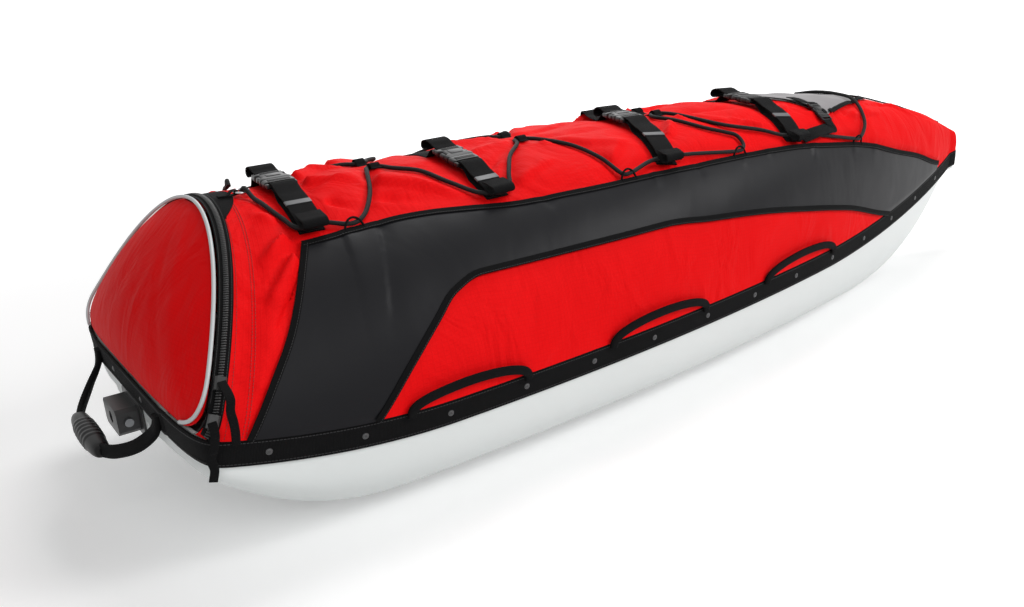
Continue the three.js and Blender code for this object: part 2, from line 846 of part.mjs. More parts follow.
function archLine(offset, lift, from = arch_start, to = 2 - arch_start, count = 30) {
  return archShares(from, to, count).map((share) => {
    const angle = share * quarter_turn;
    return onCover(archStation(arch_foot, angle) + offset, angle, lift);
  });
}

function archSides(offset, from = arch_start, to = 2 - arch_start, count = 30) {
  const line = archLine(offset, 0, from, to, count);
  return archShares(from, to, count).map((share, i) => {
    const angle = share * quarter_turn;
    const heading = line[Math.min(i + 1, count)].clone().sub(line[Math.max(i - 1, 0)]);
    return coverNormal(archStation(arch_foot, angle) + offset, angle).cross(heading).normalize();
  });
}

function roundSection(radius, sides) {
  const section = new THREE.Shape();
  for (let i = 0; i < sides; i += 1) {
    const turn = 2 * Math.PI * i / sides;
    const [x, y] = [radius * Math.cos(turn), radius * Math.sin(turn)];
    if (i === 0) {
      section.moveTo(x, y);
    } else {
      section.lineTo(x, y);
    }
  }
  section.closePath();
  return section;
}

function tube(points, radius, sides, steps) {
  const extrudePath = new THREE.CatmullRomCurve3(points, false, 'centripetal');
  return bare(new THREE.ExtrudeGeometry(roundSection(radius, sides), { steps, extrudePath, bevelEnabled: false }));
}

function flapPiping() {
  const line = archLine(-piping_radius, piping_radius + piping_lift, piping_start_share, 2 - piping_start_share);
  return tube(line, piping_radius, 8, 36);
}

function zipTape() {
  const offset = tape_start + tape_width / 2;
  const lift = tape_lift + tape_thickness / 2;
  return ribbon(archLine(offset, lift), archSides(offset), tape_width, tape_thickness);
}

function zipCoil() {
  const offset = tape_start + tape_width / 2;
  const lift = tape_lift + tape_thickness + coil_lift + coil_height / 2;
  return ribbon(archLine(offset, lift), archSides(offset), coil_width, coil_height);
}

// Place a shape built round its own origin on the cover: X along the hull, Y towards port, Z off the cloth

function seatOn(geometry, station, angle, lift, turn = 0) {
  const normal = coverNormal(station, angle);
  const up_the_side = coverPoint(station, angle + probe_angle).sub(coverPoint(station, angle - probe_angle));
  up_the_side.addScaledVector(normal, -up_the_side.dot(normal)).normalize();
  const lengthways = up_the_side.clone().cross(normal).normalize();
  const turned = new THREE.Matrix4().makeRotationZ(turn);
  const basis = new THREE.Matrix4().makeBasis(lengthways, up_the_side, normal);
  const place = onCover(station, angle, lift);
  geometry.applyMatrix4(turned);
  geometry.applyMatrix4(basis);
  geometry.translate(place.x, place.y, place.z);
  return geometry;
}

function sliderSeat(share) {
  const offset = tape_start + tape_width / 2;
  const angle = share * quarter_turn;
  const station = archStation(arch_foot, angle) + offset;
  const line = archLine(offset, 0, share - 0.01, share + 0.01, 2);
  const heading = line[2].clone().sub(line[0]).normalize();
  return { station, angle, heading, normal: coverNormal(station, angle) };
}

function alignTo(geometry, place, heading, normal) {
  const side = heading.clone().cross(normal).normalize();
  geometry.applyMatrix4(new THREE.Matrix4().makeBasis(side, heading, normal));
  geometry.translate(place.x, place.y, place.z);
  return geometry;
}

function block(width, depth, height) {
  return new THREE.BoxGeometry(width, depth, height);
}

function zipSlider(share) {
  const { station, angle, heading, normal } = sliderSeat(share);
  const shape = new THREE.Shape();
  const half = slider_width / 2;
  shape.moveTo(-half, 0);
  shape.lineTo(-half, slider_height * 0.6);
  shape.lineTo(-half * 0.7, slider_height);
  shape.lineTo(half * 0.7, slider_height);
  shape.lineTo(half, slider_height * 0.6);
  shape.lineTo(half, 0);
  shape.lineTo(half - slider_wall, 0);
  shape.lineTo(half - slider_wall, slider_height - slider_wall);
  shape.lineTo(slider_wall - half, slider_height - slider_wall);
  shape.lineTo(slider_wall - half, 0);
  shape.closePath();
  const body = new THREE.ExtrudeGeometry(shape, { depth: slider_length, bevelEnabled: false });
  body.rotateX(quarter_turn);
  body.translate(0, slider_length / 2, 0);
  const place = onCover(station, angle, tape_lift + tape_thickness + slider_seat);
  return alignTo(bare(body), place, heading, normal);
}

// The pull hangs outside the band on its slider's bridge
function pullTab(share, order) {
  const { station, angle } = sliderSeat(share);
  const top = onCover(station, angle, tape_lift + tape_thickness + slider_seat + slider_height + tab_thickness);
  const out = Math.max(half_beam + band_flare + rivet_head + tab_standoff, -top.y) + tab_standoff * (1.9 + order * 0.5);
  const lean = tab_lean * (order === 0 ? 1 : 0.2);
  const place = (fall) => new THREE.Vector3(top.x - lean * fall, -out, top.z - tab_length * fall);
  const points = [top, place(0.16), place(0.4), place(0.7), place(1)];
  return ribbon(points, points.map(() => new THREE.Vector3(1, 0, 0)), tab_width, tab_thickness);
}

function labelPatch() {
  const shares = spread(-patch_half_share, patch_half_share, 10);
  const start = tape_start + tape_width + clearance;
  const row = (across_share, lift) => {
    const reach = patch_length * Math.max(1 - (across_share / patch_half_share) ** 2, 0.08);
    return spread(start, start + reach, 3).map((offset) => {
      const angle = angleAtAcross(arch_foot, across_share);
      return onCover(archStation(arch_foot, angle) + offset, angle, lift);
    });
  };
  return slab(
    shares.map((share) => row(share, overlay_lift + patch_thickness)),
    shares.map((share) => row(share, overlay_lift)),
  );
}

// Straps and buckles: a strap runs straight across, so its station changes with the angle

function angleAtDistance(station, from_ridge) {
  return angleAtAcross(station, from_ridge / (halfWidth(station) + band_flare));
}

// The first strap keeps its distance from the lacing's ring, and the others follow the length
function ridgeShare(i) {
  return i === 0 ? (ringStation() + strap_ring_standoff) / length : strap_ridge_station_shares[i];
}

function edgeShare(i) {
  return ridgeShare(i) + strap_edge_station_shares[i] - strap_ridge_station_shares[i];
}

function strapEdgeAngle(i) {
  const share = edgeShare(i);
  return angleAtHeight(share * length, along(panel_top_shares, share) + strap_edge_share);
}

function strapStation(i, angle) {
  const reach = (quarter_turn - angle) / (quarter_turn - strapEdgeAngle(i));
  const ridge = ridgeShare(i);
  return (ridge + (edgeShare(i) - ridge) * reach) * length;
}

function strapPoint(i, angle, lift) {
  return onCover(strapStation(i, angle), angle, lift);
}

function buckleFrame(i) {
  const middle = -buckle_middle_shares[i] * half_beam;
  const angle = angleAtDistance(ridgeShare(i) * length, middle);
  const station = strapStation(i, angle);
  const normal = coverNormal(station, angle);
  const across = strapPoint(i, angle + probe_angle, 0).sub(strapPoint(i, angle - probe_angle, 0));
  across.addScaledVector(normal, -across.dot(normal)).normalize();
  const lengthways = across.clone().cross(normal).normalize();
  const origin = onCover(station, angle, buckle_lift + buckle_height / 2);
  return new THREE.Matrix4().makeBasis(lengthways, across, normal).setPosition(origin);
}

function buckleSpot(i, across, lift) {
  return new THREE.Vector3(0, across, lift).applyMatrix4(buckleFrame(i));
}

function strapAngleAt(i, across) {
  const from_ridge = across - buckle_middle_shares[i] * half_beam;
  return angleAtDistance(ridgeShare(i) * length, from_ridge);
}

// A strap's stops: a place and the direction of its width there
function clothStop(i, angle, lift) {
  const station = strapStation(i, angle);
  const fore = coverPoint(station + strap_width / 2, angle);
  const aft = coverPoint(station - strap_width / 2, angle);
  return [strapPoint(i, angle, lift), fore.sub(aft).normalize()];
}

function buckleStop(i, across, lift) {
  return [buckleSpot(i, across, lift), new THREE.Vector3().setFromMatrixColumn(buckleFrame(i), 0)];
}

function strapRibbon(stops) {
  return ribbon(stops.map(([point]) => point), stops.map(([, side]) => side), strap_width, strap_thickness);
}

// Port webbing: sewn at the port panel's edge, over the ridge and into the socket's bar
function strapPort(i) {
  const port_share = 2 * ridgeShare(i) - edgeShare(i);
  const edge = Math.PI - angleAtHeight(port_share * length, along(panel_top_shares, port_share) + strap_edge_share);
  const lead = strapAngleAt(i, socket_length + strap_width * 0.7);
  return strapRibbon([
    ...spread(edge, lead, 8).map((angle) => clothStop(i, angle, strap_lift)),
    buckleStop(i, socket_length + strap_width * 0.3, -buckle_height / 4),
    buckleStop(i, socket_length + clearance * 4, 0),
    buckleStop(i, socket_length - webbing_entry, 0),
  ]);
}

// Starboard webbing: sewn at the panel's edge, up to the plug's bar, and back over itself as the free tail
function strapStarboard(i) {
  const edge = strapEdgeAngle(i);
  const base = strapAngleAt(i, -plug_length - strap_width * 0.7);
  const lower = strapRibbon([
    ...spread(edge, base, 6).map((angle) => clothStop(i, angle, strap_lift)),
    buckleStop(i, -plug_length - strap_width * 0.25, -buckle_height / 4),
    buckleStop(i, -plug_length - clearance * 4, 0),
    buckleStop(i, webbing_entry - plug_length, 0),
  ]);
  const turn = strap_end_radius / half_beam;
  const tail = strapRibbon([
    buckleStop(i, webbing_entry - plug_length, strap_thickness * 0.8),
    buckleStop(i, -plug_length - clearance * 4, strap_thickness * 0.9),
    ...spread(base, edge, 6).map((angle) => clothStop(i, angle, strap_tail_lift)),
    clothStop(i, edge - turn * 1.2, strap_tail_lift + strap_end_radius * 0.5),
    clothStop(i, edge - turn * 1.6, strap_tail_lift + strap_end_radius * 1.4),
    clothStop(i, edge - turn * 0.8, strap_tail_lift + strap_end_radius * 2),
    clothStop(i, edge + turn, strap_tail_lift + strap_end_radius * 1.6),
  ]);
  return joined(lower, tail);
}

function bevelledOutline(width, depth, bevel) {
  const shape = new THREE.Shape();
  const [x, y] = [width / 2, depth / 2];
  shape.moveTo(bevel - x, -y);
  shape.lineTo(x - bevel, -y);
  shape.lineTo(x, bevel - y);
  shape.lineTo(x, y - bevel);
  shape.lineTo(x - bevel, y);
  shape.lineTo(bevel - x, y);
  shape.lineTo(-x, y - bevel);
  shape.lineTo(-x, bevel - y);
  shape.closePath();
  return shape;
}

// Socket half: a sleeve with a side window for each sprung arm and a slot for the webbing
function buckleSocket() {
  const shell = new THREE.ExtrudeGeometry(
    bevelledOutline(buckle_width, buckle_height, buckle_wall), { depth: socket_length, bevelEnabled: false },
  );
  shell.rotateX(-quarter_turn);
  shell.translate(0, 0, 0);
  const inner_width = buckle_width - 2 * buckle_wall;
  const inner_height = buckle_height - 2 * buckle_wall;
  const pocket_depth = socket_length - webbing_slot_depth - buckle_wall;
  const pocket = block(inner_width, pocket_depth * 2, inner_height);
  const window = block(buckle_width * 2, window_length, inner_height);
  window.translate(0, window_start + window_length / 2, 0);
  const slot = block(strap_width + clearance * 4, webbing_slot_depth * 2, webbing_slot_height);
  slot.translate(0, socket_length, 0);
  return cut(shell, pocket, window, slot);
}

// Plug half: bar, middle tongue and two sprung arms with their catches
function buckleBase() {
  const body = new THREE.ExtrudeGeometry(
    bevelledOutline(buckle_width, buckle_height, buckle_wall), { depth: plug_length, bevelEnabled: false },
  );
  body.rotateX(-quarter_turn);
  body.translate(0, -plug_length, 0);
  return body;
}

function bucklePlug() {
  const arm_height = buckle_height - 2 * buckle_wall - 2 * clearance;
  const arm_offset = buckle_width / 2 - buckle_wall - clearance - plug_arm_width / 2;
  const arms = [-1, 1].map((side) => {
    const outline = new THREE.Shape();
    const [w, l] = [plug_arm_width, plug_arm_length];
    outline.moveTo(-w / 2, -clearance);
    outline.lineTo(w / 2, -clearance);
    outline.lineTo(w / 2, window_start + window_length);
    outline.lineTo(w * 0.1, l);
    outline.lineTo(-w / 2, l);
    outline.lineTo(-w / 2, window_start + window_length);
    outline.lineTo(-w * 0.1, window_start);
    outline.closePath();
    const arm = new THREE.ExtrudeGeometry(outline, { depth: arm_height, bevelEnabled: false });
    arm.translate(0, 0, -arm_height / 2);
    if (side < 0) {
      arm.rotateY(Math.PI);
    }
    arm.translate(side * arm_offset, 0, 0);
    return arm;
  });
  const tongue = block(plug_tongue_width, plug_arm_length, arm_height);
  tongue.translate(0, plug_arm_length / 2 - clearance, 0);
  const base = buckleBase();
  base.translate(0, -clearance, 0);
  arms.forEach((arm) => arm.translate(0, -clearance, 0));
  const slot = block(strap_width + clearance * 4, webbing_slot_depth * 2, webbing_slot_height + strap_thickness * 2);
  slot.translate(0, -plug_length, strap_thickness / 2);
  return cut(joined(base, tongue, ...arms), slot);
}

function seatBuckle(geometry, i) {
  return geometry.applyMatrix4(buckleFrame(i));
}

// Bow hood

function hoodRow(across_share, lift) {
  const reach = Math.abs(across_share) / hood_corner_share;
  const aft = THREE.MathUtils.lerp(hood_aft_share, hood_corner_station_share, reach) * length;
  const front = (hood_tip_share - (hood_tip_share - hood_corner_station_share) * reach ** hood_power_share) * length;
  return spread(aft, Math.max(front, aft + binding_width), 5).map((station) => (
    onCover(station, angleAtAcross(station, across_share), lift)
  ));
}

function bowHood() {
  const shares = spread(-hood_corner_share, hood_corner_share, 14);
  return slab(
    shares.map((share) => hoodRow(share, overlay_lift + hood_thickness)),
    shares.map((share) => hoodRow(share, overlay_lift)),
  );
}

function hoodBinding() {
  const front = spread(-0.97, 0.97, 16).map((share) => share * hood_corner_share);
  const edge = front.map((across_share) => {
    const reach = Math.abs(across_share) / hood_corner_share;
    return [
      (hood_tip_share - (hood_tip_share - hood_corner_station_share) * reach ** hood_power_share) * length,
      across_share,
    ];
  });
  const lift = overlay_lift + hood_thickness + binding_thickness;
  const points = edge.map(([station, across]) => onCover(station, angleAtAcross(station, across), lift));
  const sides = edge.map(([station, across], i) => {
    const heading = points[Math.min(i + 1, points.length - 1)].clone().sub(points[Math.max(i - 1, 0)]);
    return coverNormal(station, angleAtAcross(station, across)).cross(heading).normalize();
  });
  return ribbon(points, sides, binding_width, binding_thickness);
}

// The hood's own short strap and its smaller buckle, starboard side

function hoodStrapFrame(lift) {
  const station = hood_strap_station_share * length;
  const angle = angleAtAcross(station, hood_buckle_across_share);
  const normal = coverNormal(station, angle);
  const across = coverPoint(station, angle + probe_angle).sub(coverPoint(station, angle - probe_angle));
  across.addScaledVector(normal, -across.dot(normal)).normalize();
  const origin = onCover(station, angle, lift);
  return new THREE.Matrix4().makeBasis(across.clone().cross(normal), across, normal).setPosition(origin);
}

const hood_seat_lift = overlay_lift + hood_thickness + clearance;

function hoodBuckle(half) {
  const share = hood_buckle_share;
  half.applyMatrix4(new THREE.Matrix4().makeScale(share, share, share));
  return half.applyMatrix4(hoodStrapFrame(hood_seat_lift + share * (buckle_lift + buckle_height / 2)));
}

function hoodStrap(side, end) {
  const share = hood_buckle_share;
  const frame = hoodStrapFrame(hood_seat_lift + share * (buckle_lift + buckle_height / 2));
  const reach = side > 0 ? socket_length * share : plug_length * share;
  const inside = new THREE.Vector3(0, side * (reach - webbing_entry * share), 0).applyMatrix4(frame);
  const mouth = new THREE.Vector3(0, side * (reach + clearance * 2), 0).applyMatrix4(frame);
  const station = hood_strap_station_share * length;
  const start = angleAtAcross(station, hood_buckle_across_share);
  const step = coverPoint(station, start + probe_angle).distanceTo(coverPoint(station, start));
  const angleAt = (distance) => start + side * distance * probe_angle / step;
  const lift = side > 0 ? hood_seat_lift + strap_thickness : strap_lift * 3;
  const run = spread(reach + strap_width / 3, reach + end, 3).map((distance) => onCover(station, angleAt(distance), lift));
  const points = [inside, mouth, ...run];
  const lengthways = new THREE.Vector3().setFromMatrixColumn(frame, 0);
  return ribbon(points, points.map(() => lengthways), hood_strap_width, strap_thickness * share);
}

// Lacing: one length of cord a side

function cordPlaces([kind, share, across, lift_share]) {
  const station = share * length;
  if (kind === edge_cord) {
    return [-edge_half_run, edge_half_run].map((run) => (
      onCover(station + run, aboveEdge(share + run / length, edge_cord_height), edge_cord_lift)
    ));
  }
  if (kind === ridge_cord) {
    return [-apex_half_run, apex_half_run].map((run) => (
      onCover(station + run, angleAtDistance(station, -apex_offset), cord_lift)
    ));
  }
  if (kind === strap_cord) {
    return [onCover(station, aboveEdge(share, strap_cord_height), strap_cord_lift)];
  }
  return [onCover(station, angleAtAcross(station, across), cord_lift * lift_share)];
}

function cordTube(points) {
  const extrudePath = new THREE.CatmullRomCurve3(points, false, 'centripetal');
  extrudePath.getUtoTmapping = (share) => share;
  const options = { steps: cord_steps, extrudePath, bevelEnabled: false };
  return bare(new THREE.ExtrudeGeometry(roundSection(cord_radius, 8), options));
}

function lacingStarboard() {
  return cordTube([...cord_route, ...cord_end_route].flatMap(cordPlaces));
}

function lacingPort() {
  const last = cord_route.findIndex(([, share]) => share === edge_loop_shares[3]);
  const points = cord_route.slice(0, last + 1).flatMap(cordPlaces);
  return cordTube(points.map((point) => new THREE.Vector3(point.x, -point.y, point.z)));
}

// Webbing sewn across the ridge, raised over the cord on either side
function ridgeTab(share) {
  const station = share * length;
  const rise = cord_lift + cord_radius + loop_clear * 2 + tab_strip_thickness / 2;
  const low = overlay_lift + tab_strip_thickness / 2;
  const bump = cord_radius + loop_clear + tab_strip_thickness;
  const half = [
    [ridge_tab_reach, low], [apex_offset + bump + ridge_tab_slope, low], [apex_offset + bump * 0.8, rise * 0.75],
    [apex_offset + bump * 0.3, rise], [apex_offset - bump * 0.3, rise], [apex_offset - bump * 0.8, rise * 0.75],
    [apex_offset - bump - ridge_tab_slope, low],
  ];
  const profile = [...half.map(([y, lift]) => [-y, lift]), ...[...half].reverse()];
  const points = profile.map(([across, lift]) => onCover(station, angleAtDistance(station, across), lift));
  return ribbon(points, points.map(() => new THREE.Vector3(1, 0, 0)), tab_strip_width, tab_strip_thickness);
}

function ringStation() {
  const foot = archStation(arch_foot, angleAtAcross(arch_foot, ring_across_share));
  return foot + tape_start + tape_width + ring_standoff;
}

function ringSeat(geometry) {
  const station = ringStation();
  return seatOn(geometry, station, angleAtAcross(station, ring_across_share), ring_lift);
}

function cordRing() {
  return ringSeat(bare(new THREE.TorusGeometry(ring_radius, ring_bar_radius, 8, 20)));
}

// Webbing that holds the ring: sewn down aft of it, folded round its bar
function ringWebbing() {
  const [r, t] = [ring_bar_radius + ring_webbing_thickness / 2 + clearance, ring_webbing_thickness];
  const end = r + ring_webbing_slack;
  const fold = [[0, -r], [end * 0.8, -r * 0.8], [end, 0], [end * 0.8, r * 0.8], [0, r], [-r * 1.5, r * 0.8]];
  const place = ([x, z]) => new THREE.Vector3(x - ring_radius, 0, z);
  const sides = (points) => points.map(() => new THREE.Vector3(0, -1, 0));
  const low = [[-ring_webbing_length, -r], ...fold.slice(0, 5)].map(place);
  const high = [...fold.slice(4), [-r * 3.2, -r + t * 0.9], [-ring_webbing_length, -r + t * 0.9]].map(place);
  const sewn = ribbon(low, sides(low), ring_webbing_width, ring_webbing_thickness);
  const folded = ribbon(high, sides(high), ring_webbing_width, ring_webbing_thickness);
  return ringSeat(joined(sewn, folded));
}

// Side grab handles: a webbing arch on the band's top edge, standing just off the cloth
function sideHandle([from, to], side) {
  const count = 14;
  const points = spread(0, 1, count).map((t) => {
    const station = THREE.MathUtils.lerp(from, to, t) * length;
    const arch = Math.sin(Math.PI * t) ** 0.45;
    const height = rimTop(station) + handle_height * arch - handle_width * 0.4;
    const out = band_flare + seat_gap * 2 + handle_thickness / 2 + handle_standoff * arch;
    return rimPoint(station, side, height, out);
  });
  const sides = points.map((point, i) => {
    const heading = points[Math.min(i + 1, count)].clone().sub(points[Math.max(i - 1, 0)]);
    const outward = new THREE.Vector3(0, side, 0);
    return heading.cross(outward).normalize();
  });
  return ribbon(points, sides, handle_width, handle_thickness);
}

// Stern carry handle: webbing sewn to the band at both ends, straight where it runs through the grip
function carrySide() {
  const top = rimTop(0) - band_width / 2;
  const aft = lengthwise(0) - band_flare - seat_gap - carry_thickness / 2;
  return [
    [0, carry_anchor, 0.12], [0, carry_anchor, 0], [0.06, carry_anchor * 0.98, -0.25],
    [0.4, carry_anchor * 0.86, -0.62], [0.8, carry_anchor * 0.62, -0.9], [1, grip_length * 0.56, -1],
  ].map(([out_share, y, drop_share]) => (
    new THREE.Vector3(aft - out_share * carry_reach, y, top + drop_share * carry_drop)
  ));
}

function carryMiddle() {
  const side = carrySide();
  return side[side.length - 1];
}

function carryWebbing() {
  const curve = new THREE.CatmullRomCurve3(carrySide(), false, 'centripetal');
  const half = curve.getPoints(12);
  const back = [...half].reverse().map((point) => new THREE.Vector3(point.x, -point.y, point.z));
  const points = [...half, ...back];
  const outward = new THREE.Vector3(-1, 0, 0);
  const sides = points.map((point, i) => {
    const heading = points[Math.min(i + 1, points.length - 1)].clone().sub(points[Math.max(i - 1, 0)]);
    return heading.cross(outward).normalize();
  });
  const webbing = ribbon(points, sides, carry_width, carry_thickness);
  const heads = [-1, 1].map((side) => {
    const seat = new THREE.Vector3(points[0].x - carry_thickness / 2, side * carry_anchor, points[0].z - rivet_radius);
    return rivet(seat, outward);
  });
  return joined(webbing, ...heads);
}

function carryGrip() {
  const steps = grip_rib_count * 4;
  const outer = spread(0, 1, steps).map((t) => {
    const rib = grip_rib * Math.sin(Math.PI * grip_rib_count * t) ** 2;
    const end = 1 - 0.15 * Math.abs(2 * t - 1) ** 8;
    return new THREE.Vector2((grip_radius + rib) * end, (t - 0.5) * grip_length);
  });
  const grip = new THREE.LatheGeometry([
    new THREE.Vector2(0, -grip_length / 2), ...outer, new THREE.Vector2(0, grip_length / 2),
  ], 14);
  const bore = block(carry_thickness + 2 * grip_bore_margin, grip_length * 2, carry_width + 2 * grip_bore_margin);
  const middle = carryMiddle();
  const solid = cut(grip, bore);
  return solid.translate(middle.x, 0, middle.z);
}

// Socket bracket
function bracketMiddle() {
  return sheer(0) - bracket_height / 2 - clearance;
}

function bracketPlate() {
  const outline = bevelledOutline(bracket_width, bracket_height, bracket_bevel);
  const plate = new THREE.ExtrudeGeometry(outline, { depth: bracket_plate, bevelEnabled: false });
  plate.rotateX(quarter_turn);
  plate.rotateZ(quarter_turn);
  plate.translate(lengthwise(0) - bracket_plate - seat_gap, 0, bracketMiddle());
  return bare(plate);
}

function bracketFront() {
  return lengthwise(0) - bracket_plate - seat_gap * 2;
}

// Box with a socket open to the rear and a cross hole for its pin
function bracketBox() {
  const outline = bevelledOutline(bracket_box_width, bracket_box_height, bracket_bevel);
  const box = new THREE.ExtrudeGeometry(outline, { depth: bracket_box_depth, bevelEnabled: false });
  box.rotateX(quarter_turn);
  box.rotateZ(quarter_turn);
  box.translate(bracketFront() - bracket_box_depth, 0, bracketMiddle());
  const socket = new THREE.CylinderGeometry(bracket_bore / 2, bracket_bore / 2, bracket_box_depth * 2, 16);
  socket.rotateZ(quarter_turn);
  socket.translate(bracketFront() - bracket_box_depth - bracket_wall, 0, bracketMiddle());
  const hole_radius = bracket_pin_radius + seat_gap;
  const hole = new THREE.CylinderGeometry(hole_radius, hole_radius, bracket_box_width * 2, 12);
  hole.translate(bracketFront() - bracket_box_depth / 2, 0, bracketMiddle());
  return cut(box, socket, hole);
}

function bracketPin() {
  const reach = bracket_box_width / 2;
  const profile = [
    [0, -reach - bracket_pin_head_height - seat_gap], [bracket_pin_head, -reach - bracket_pin_head_height - seat_gap],
    [bracket_pin_head, -reach - seat_gap], [bracket_pin_radius, -reach - seat_gap],
    [bracket_pin_radius, reach + bracket_pin_radius], [bracket_pin_radius * 0.6, reach + bracket_pin_radius * 2],
    [0, reach + bracket_pin_radius * 2],
  ].map(([x, y]) => new THREE.Vector2(x, y));
  const pin = bare(new THREE.LatheGeometry(profile, 12));
  return pin.translate(bracketFront() - bracket_box_depth / 2, 0, bracketMiddle());
}

add('hull', hull(), white_shell());
add('rim_band', rimBand(), black_webbing());
add('packed_load', packedLoad(), load_fabric());
add('cover_body', coverBody(), red_nylon());
add('side_panel_starboard', sidePanel(), coated_black());
add('side_panel_port', mirrored(sidePanel()), coated_black());
add('panel_binding_starboard', panelBinding(), black_webbing());
add('panel_binding_port', mirrored(panelBinding()), black_webbing());
add('stern_flap', sternFlap(), red_nylon());
add('flap_piping', flapPiping(), reflective());
add('zip_tape', zipTape(), black_webbing());
add('zip_coil', zipCoil(), black_moulding());
add('label_patch', labelPatch(), black_webbing());
slider_shares.forEach((share, i) => {
  const word = ['lower', 'upper'][i];
  add(`zip_slider_${word}`, zipSlider(share), black_moulding());
  add(`pull_tab_${word}`, pullTab(share, i), black_webbing());
});
strap_edge_station_shares.forEach((share, i) => {
  add(`strap_${i + 1}_port`, strapPort(i), black_webbing());
  add(`strap_${i + 1}_starboard`, strapStarboard(i), black_webbing());
  add(`buckle_${i + 1}_socket`, seatBuckle(buckleSocket(), i), black_moulding());
  add(`buckle_${i + 1}_plug`, seatBuckle(bucklePlug(), i), black_moulding());
});
add('bow_hood', bowHood(), grey_coated());
add('hood_binding', hoodBinding(), black_webbing());
add('hood_strap_upper', hoodStrap(1, hood_strap_reach), black_webbing());
add('hood_strap_lower', hoodStrap(-1, hood_strap_drop), black_webbing());
add('hood_buckle_socket', hoodBuckle(buckleSocket()), black_moulding());
add('hood_buckle_plug', hoodBuckle(bucklePlug()), black_moulding());
add('lacing_cord_starboard', lacingStarboard(), black_webbing());
add('lacing_cord_port', lacingPort(), black_webbing());
ridge_tab_shares.forEach((share, i) => add(`ridge_tab_${i + 1}`, ridgeTab(share), black_webbing()));
add('cord_ring', cordRing(), steel());
add('cord_ring_webbing', ringWebbing(), black_webbing());
[-1, 1].forEach((side) => {
  const word = side < 0 ? 'starboard' : 'port';
  handle_shares.forEach((span, i) => {
    add(`side_handle_${word}_${i + 1}`, sideHandle(span, side), black_webbing());
  });
});
add('carry_handle_webbing', carryWebbing(), black_webbing());
add('carry_handle_grip', carryGrip(), black_moulding());
add('bracket_plate', bracketPlate(), black_moulding());
add('bracket_box', bracketBox(), black_moulding());
add('bracket_pin', bracketPin(), steel());

// The origin goes on the ground under the middle of the whole part's length
const whole = new THREE.Box3().setFromObject(parts);
const middle = (whole.min.x + whole.max.x) / 2;
parts.children.forEach((mesh) => mesh.geometry.translate(-middle, 0, 0));

export default parts;
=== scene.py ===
import logging
import math
from dataclasses import dataclass, field
from enum import Enum
from typing import Callable, Iterable, Sequence

import bmesh
import bpy
import numpy as np
from mathutils import Matrix, Vector, noise


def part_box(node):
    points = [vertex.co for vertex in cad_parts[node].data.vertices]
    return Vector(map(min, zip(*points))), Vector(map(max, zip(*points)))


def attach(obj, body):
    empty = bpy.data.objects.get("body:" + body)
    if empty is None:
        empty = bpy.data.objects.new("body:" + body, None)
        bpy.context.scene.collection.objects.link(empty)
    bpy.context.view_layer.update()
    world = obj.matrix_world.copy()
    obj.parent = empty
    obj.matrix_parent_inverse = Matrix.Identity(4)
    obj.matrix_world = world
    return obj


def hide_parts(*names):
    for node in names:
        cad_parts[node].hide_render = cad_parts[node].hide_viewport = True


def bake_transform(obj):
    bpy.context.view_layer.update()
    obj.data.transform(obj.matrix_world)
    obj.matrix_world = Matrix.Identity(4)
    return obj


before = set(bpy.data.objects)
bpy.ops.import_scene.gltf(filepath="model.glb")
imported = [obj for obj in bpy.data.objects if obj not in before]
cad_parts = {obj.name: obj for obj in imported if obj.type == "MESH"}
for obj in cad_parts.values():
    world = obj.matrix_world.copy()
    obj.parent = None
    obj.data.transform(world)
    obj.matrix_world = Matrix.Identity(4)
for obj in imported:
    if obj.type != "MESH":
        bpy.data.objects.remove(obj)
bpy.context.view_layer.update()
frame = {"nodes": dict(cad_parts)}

log = logging.getLogger("pulk")

QUARTER_TURN = math.pi / 2

# Small steps along and up the cover for measuring slopes, in metres and radians
PROBE = 0.00042
PROBE_ANGLE = 0.004

# Edges sharper than these angles, in degrees, stay crisp
CLOTH_EDGE = 60.0
WOVEN_EDGE = 50.0
MOULDED_EDGE = 38.0
GRIP_EDGE = 35.0

# Pitch, length and width of a stitch, a little coarser than real so that it shows
FINE_STITCH = (0.0036, 0.0025, 0.0006)
ZIP_STITCH = (0.0034, 0.0024, 0.0006)
SEAM_STITCH = (0.0038, 0.0026, 0.0007)
BAND_STITCH = (0.0042, 0.003, 0.0008)

Place = Callable[[np.ndarray, np.ndarray], np.ndarray]
Table = Sequence[tuple[float, float]]
Tree = bpy.types.NodeTree
Socket = bpy.types.NodeSocket


class Side(Enum):
    """The two sides of the sled, with the sign of Y on each."""

    STARBOARD = -1
    PORT = 1

    @property
    def word(self) -> str:
        """The side's name in piece and node names."""
        return self.name.lower()


# Small helpers for numbers and curves


def unit(vectors: np.ndarray) -> np.ndarray:
    """Scales each vector of an array to a length of one."""
    return vectors / np.maximum(np.linalg.norm(vectors, axis=-1, keepdims=True), 1e-12)


def smooth_step(low: float, high: float, value: np.ndarray) -> np.ndarray:
    """Rises smoothly from 0 at low to 1 at high."""
    share = np.clip((value - low) / (high - low), 0.0, 1.0)
    return share * share * (3 - 2 * share)


